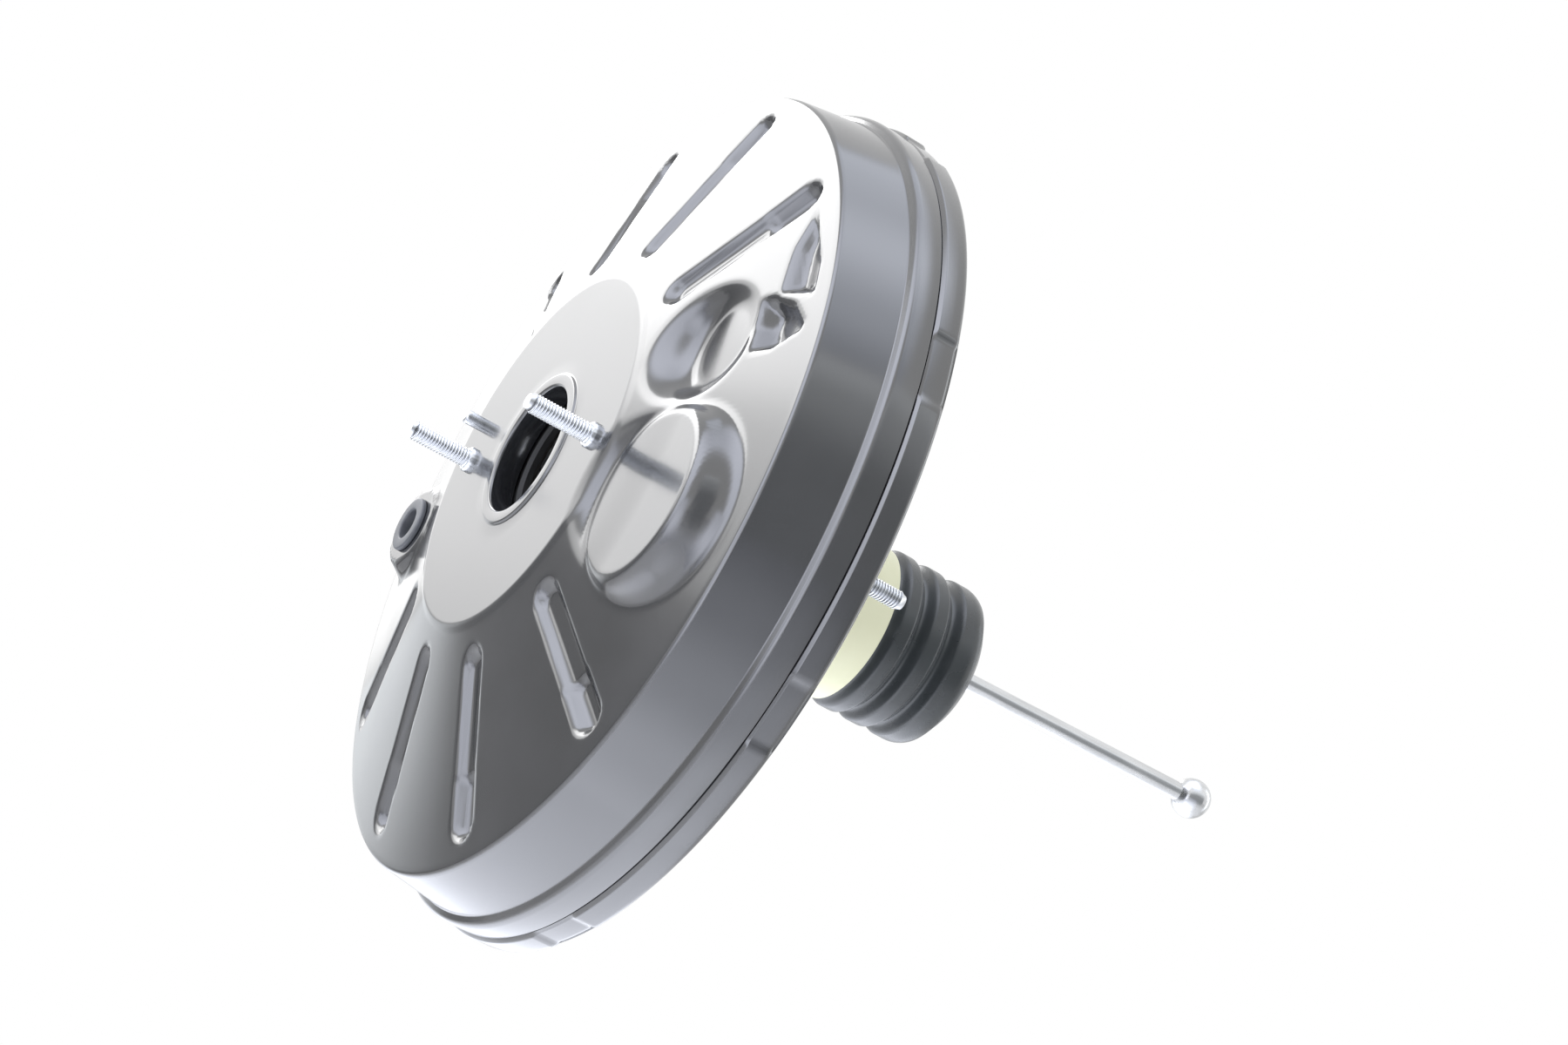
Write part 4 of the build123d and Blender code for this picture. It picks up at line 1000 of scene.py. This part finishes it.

# %% [markdown]
# ## Diaphragm
#
# The diaphragm is moulded rubber. Its disc moves with the piston, its bead is clamped between
# the shells, and the bottom of the fold between them moves half as far as the piston. A cloth
# simulation would be slow for a piece that can't be seen from outside. So it is turned in four
# closed pieces.

# %% Diaphragm
FOLD_CENTRE = (114.1, -32.3)
FOLD_OUTSIDE = 8.0
FOLD_INSIDE = 6.2
RUBBER_TURN_STEPS = 160


def fold_arc(radius, first, last):
    """Points on the fold's round bottom, between two angles in degrees."""
    turns = np.radians(np.linspace(first, last, 10))
    return [(FOLD_CENTRE[0] + radius * math.cos(turn), FOLD_CENTRE[1] + radius * math.sin(turn))
            for turn in turns]


disc = spun("diaphragm_disc", rounded([
    (34.1, -15.8, 0.4), (60.0, -15.8, 2.0), (104.8, -22.3, 0.5), (106.1, -23.5, 0.2),
    (107.9, -23.5, 0.2), (107.9, -21.8, 1.2), (106.0, -20.5, 0.8), (60.0, -14.0, 2.0),
    (39.8, -14.0, 0.6), (38.1, -12.4, 0.6), (34.1, -12.4, 0.6)], 3), RUBBER_TURN_STEPS, SEAL_RUBBER)
inner_fold = spun("diaphragm_inner_fold", [(106.1, -23.6), (106.1, -28.0)]
                  + fold_arc(FOLD_OUTSIDE, 180, 270) + fold_arc(FOLD_INSIDE, 270, 180)
                  + [(107.9, -28.0), (107.9, -23.6)], RUBBER_TURN_STEPS, SEAL_RUBBER)
outer_fold = spun("diaphragm_outer_fold", fold_arc(FOLD_OUTSIDE, 270, 360)
                  + [(122.1, -31.7), (120.3, -31.7)] + fold_arc(FOLD_INSIDE, 360, 270),
                  RUBBER_TURN_STEPS, SEAL_RUBBER)
bead = spun("diaphragm_bead", rounded([
    (120.3, -31.6, 0), (120.3, -30.6, 0.4), (126.5, -30.6, 0.6), (126.5, -23.8, 0.8),
    (131.6, -23.8, 0.8), (131.6, -37.4, 0.8), (126.5, -37.4, 0.8), (126.5, -32.4, 0.6),
    (122.1, -32.4, 0.2), (122.1, -31.6, 0)], 3), RUBBER_TURN_STEPS, SEAL_RUBBER)
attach(disc, "piston")
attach(bead, "housing")
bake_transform(inner_fold)
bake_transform(outer_fold)
for piece in (disc, inner_fold, outer_fold, bead):
    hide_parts("diaphragm")
print("diaphragm: 4 pieces, fold", round(FOLD_OUTSIDE - FOLD_INSIDE, 1), "mm thick")

# %% [markdown]
# ## Springs
#
# The return spring pushes the piston back, and the small one pushes the pushrod back. Both are
# wound wire. The coils could be wound again along a curve, but the solids already have their
# true shape. So each solid is copied with a mesh of its own, and the seams between its faces are
# merged.

# %% Springs
PISTON_STROKE = 25.0
INPUT_STROKE = 1.6
RETURN_LENGTH = 51.4         # length of each spring from its still seat, at rest
INPUT_LENGTH = 16.8


def live_spring(node, name, body, keep):
    """A copy of a spring with a mesh of its own and its seams merged, which goes with a body."""
    made = frame["nodes"][node].copy()
    made.data = made.data.copy()
    made.name = name
    bpy.context.scene.collection.objects.link(made)
    bpy.ops.object.select_all(action="DESELECT")
    bpy.context.view_layer.objects.active = made
    made.select_set(True)
    bpy.ops.object.mode_set(mode="EDIT")
    bpy.ops.mesh.select_all(action="SELECT")
    bpy.ops.mesh.remove_doubles(threshold=MERGE)
    bpy.ops.mesh.normals_make_consistent(inside=False)
    bpy.ops.object.mode_set(mode="OBJECT")
    bpy.ops.object.shade_smooth_by_angle(angle=math.radians(50))
    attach(made, body)
    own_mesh(made)
    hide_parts(node)
    print(name, "faces", len(made.data.polygons), "keeps", round(keep, 3))


live_spring("return_spring", "return_spring_wire", "housing",
            1 - PISTON_STROKE / RETURN_LENGTH)
live_spring("input_return_spring", "input_return_spring_wire", "piston",
            1 - INPUT_STROKE / INPUT_LENGTH)
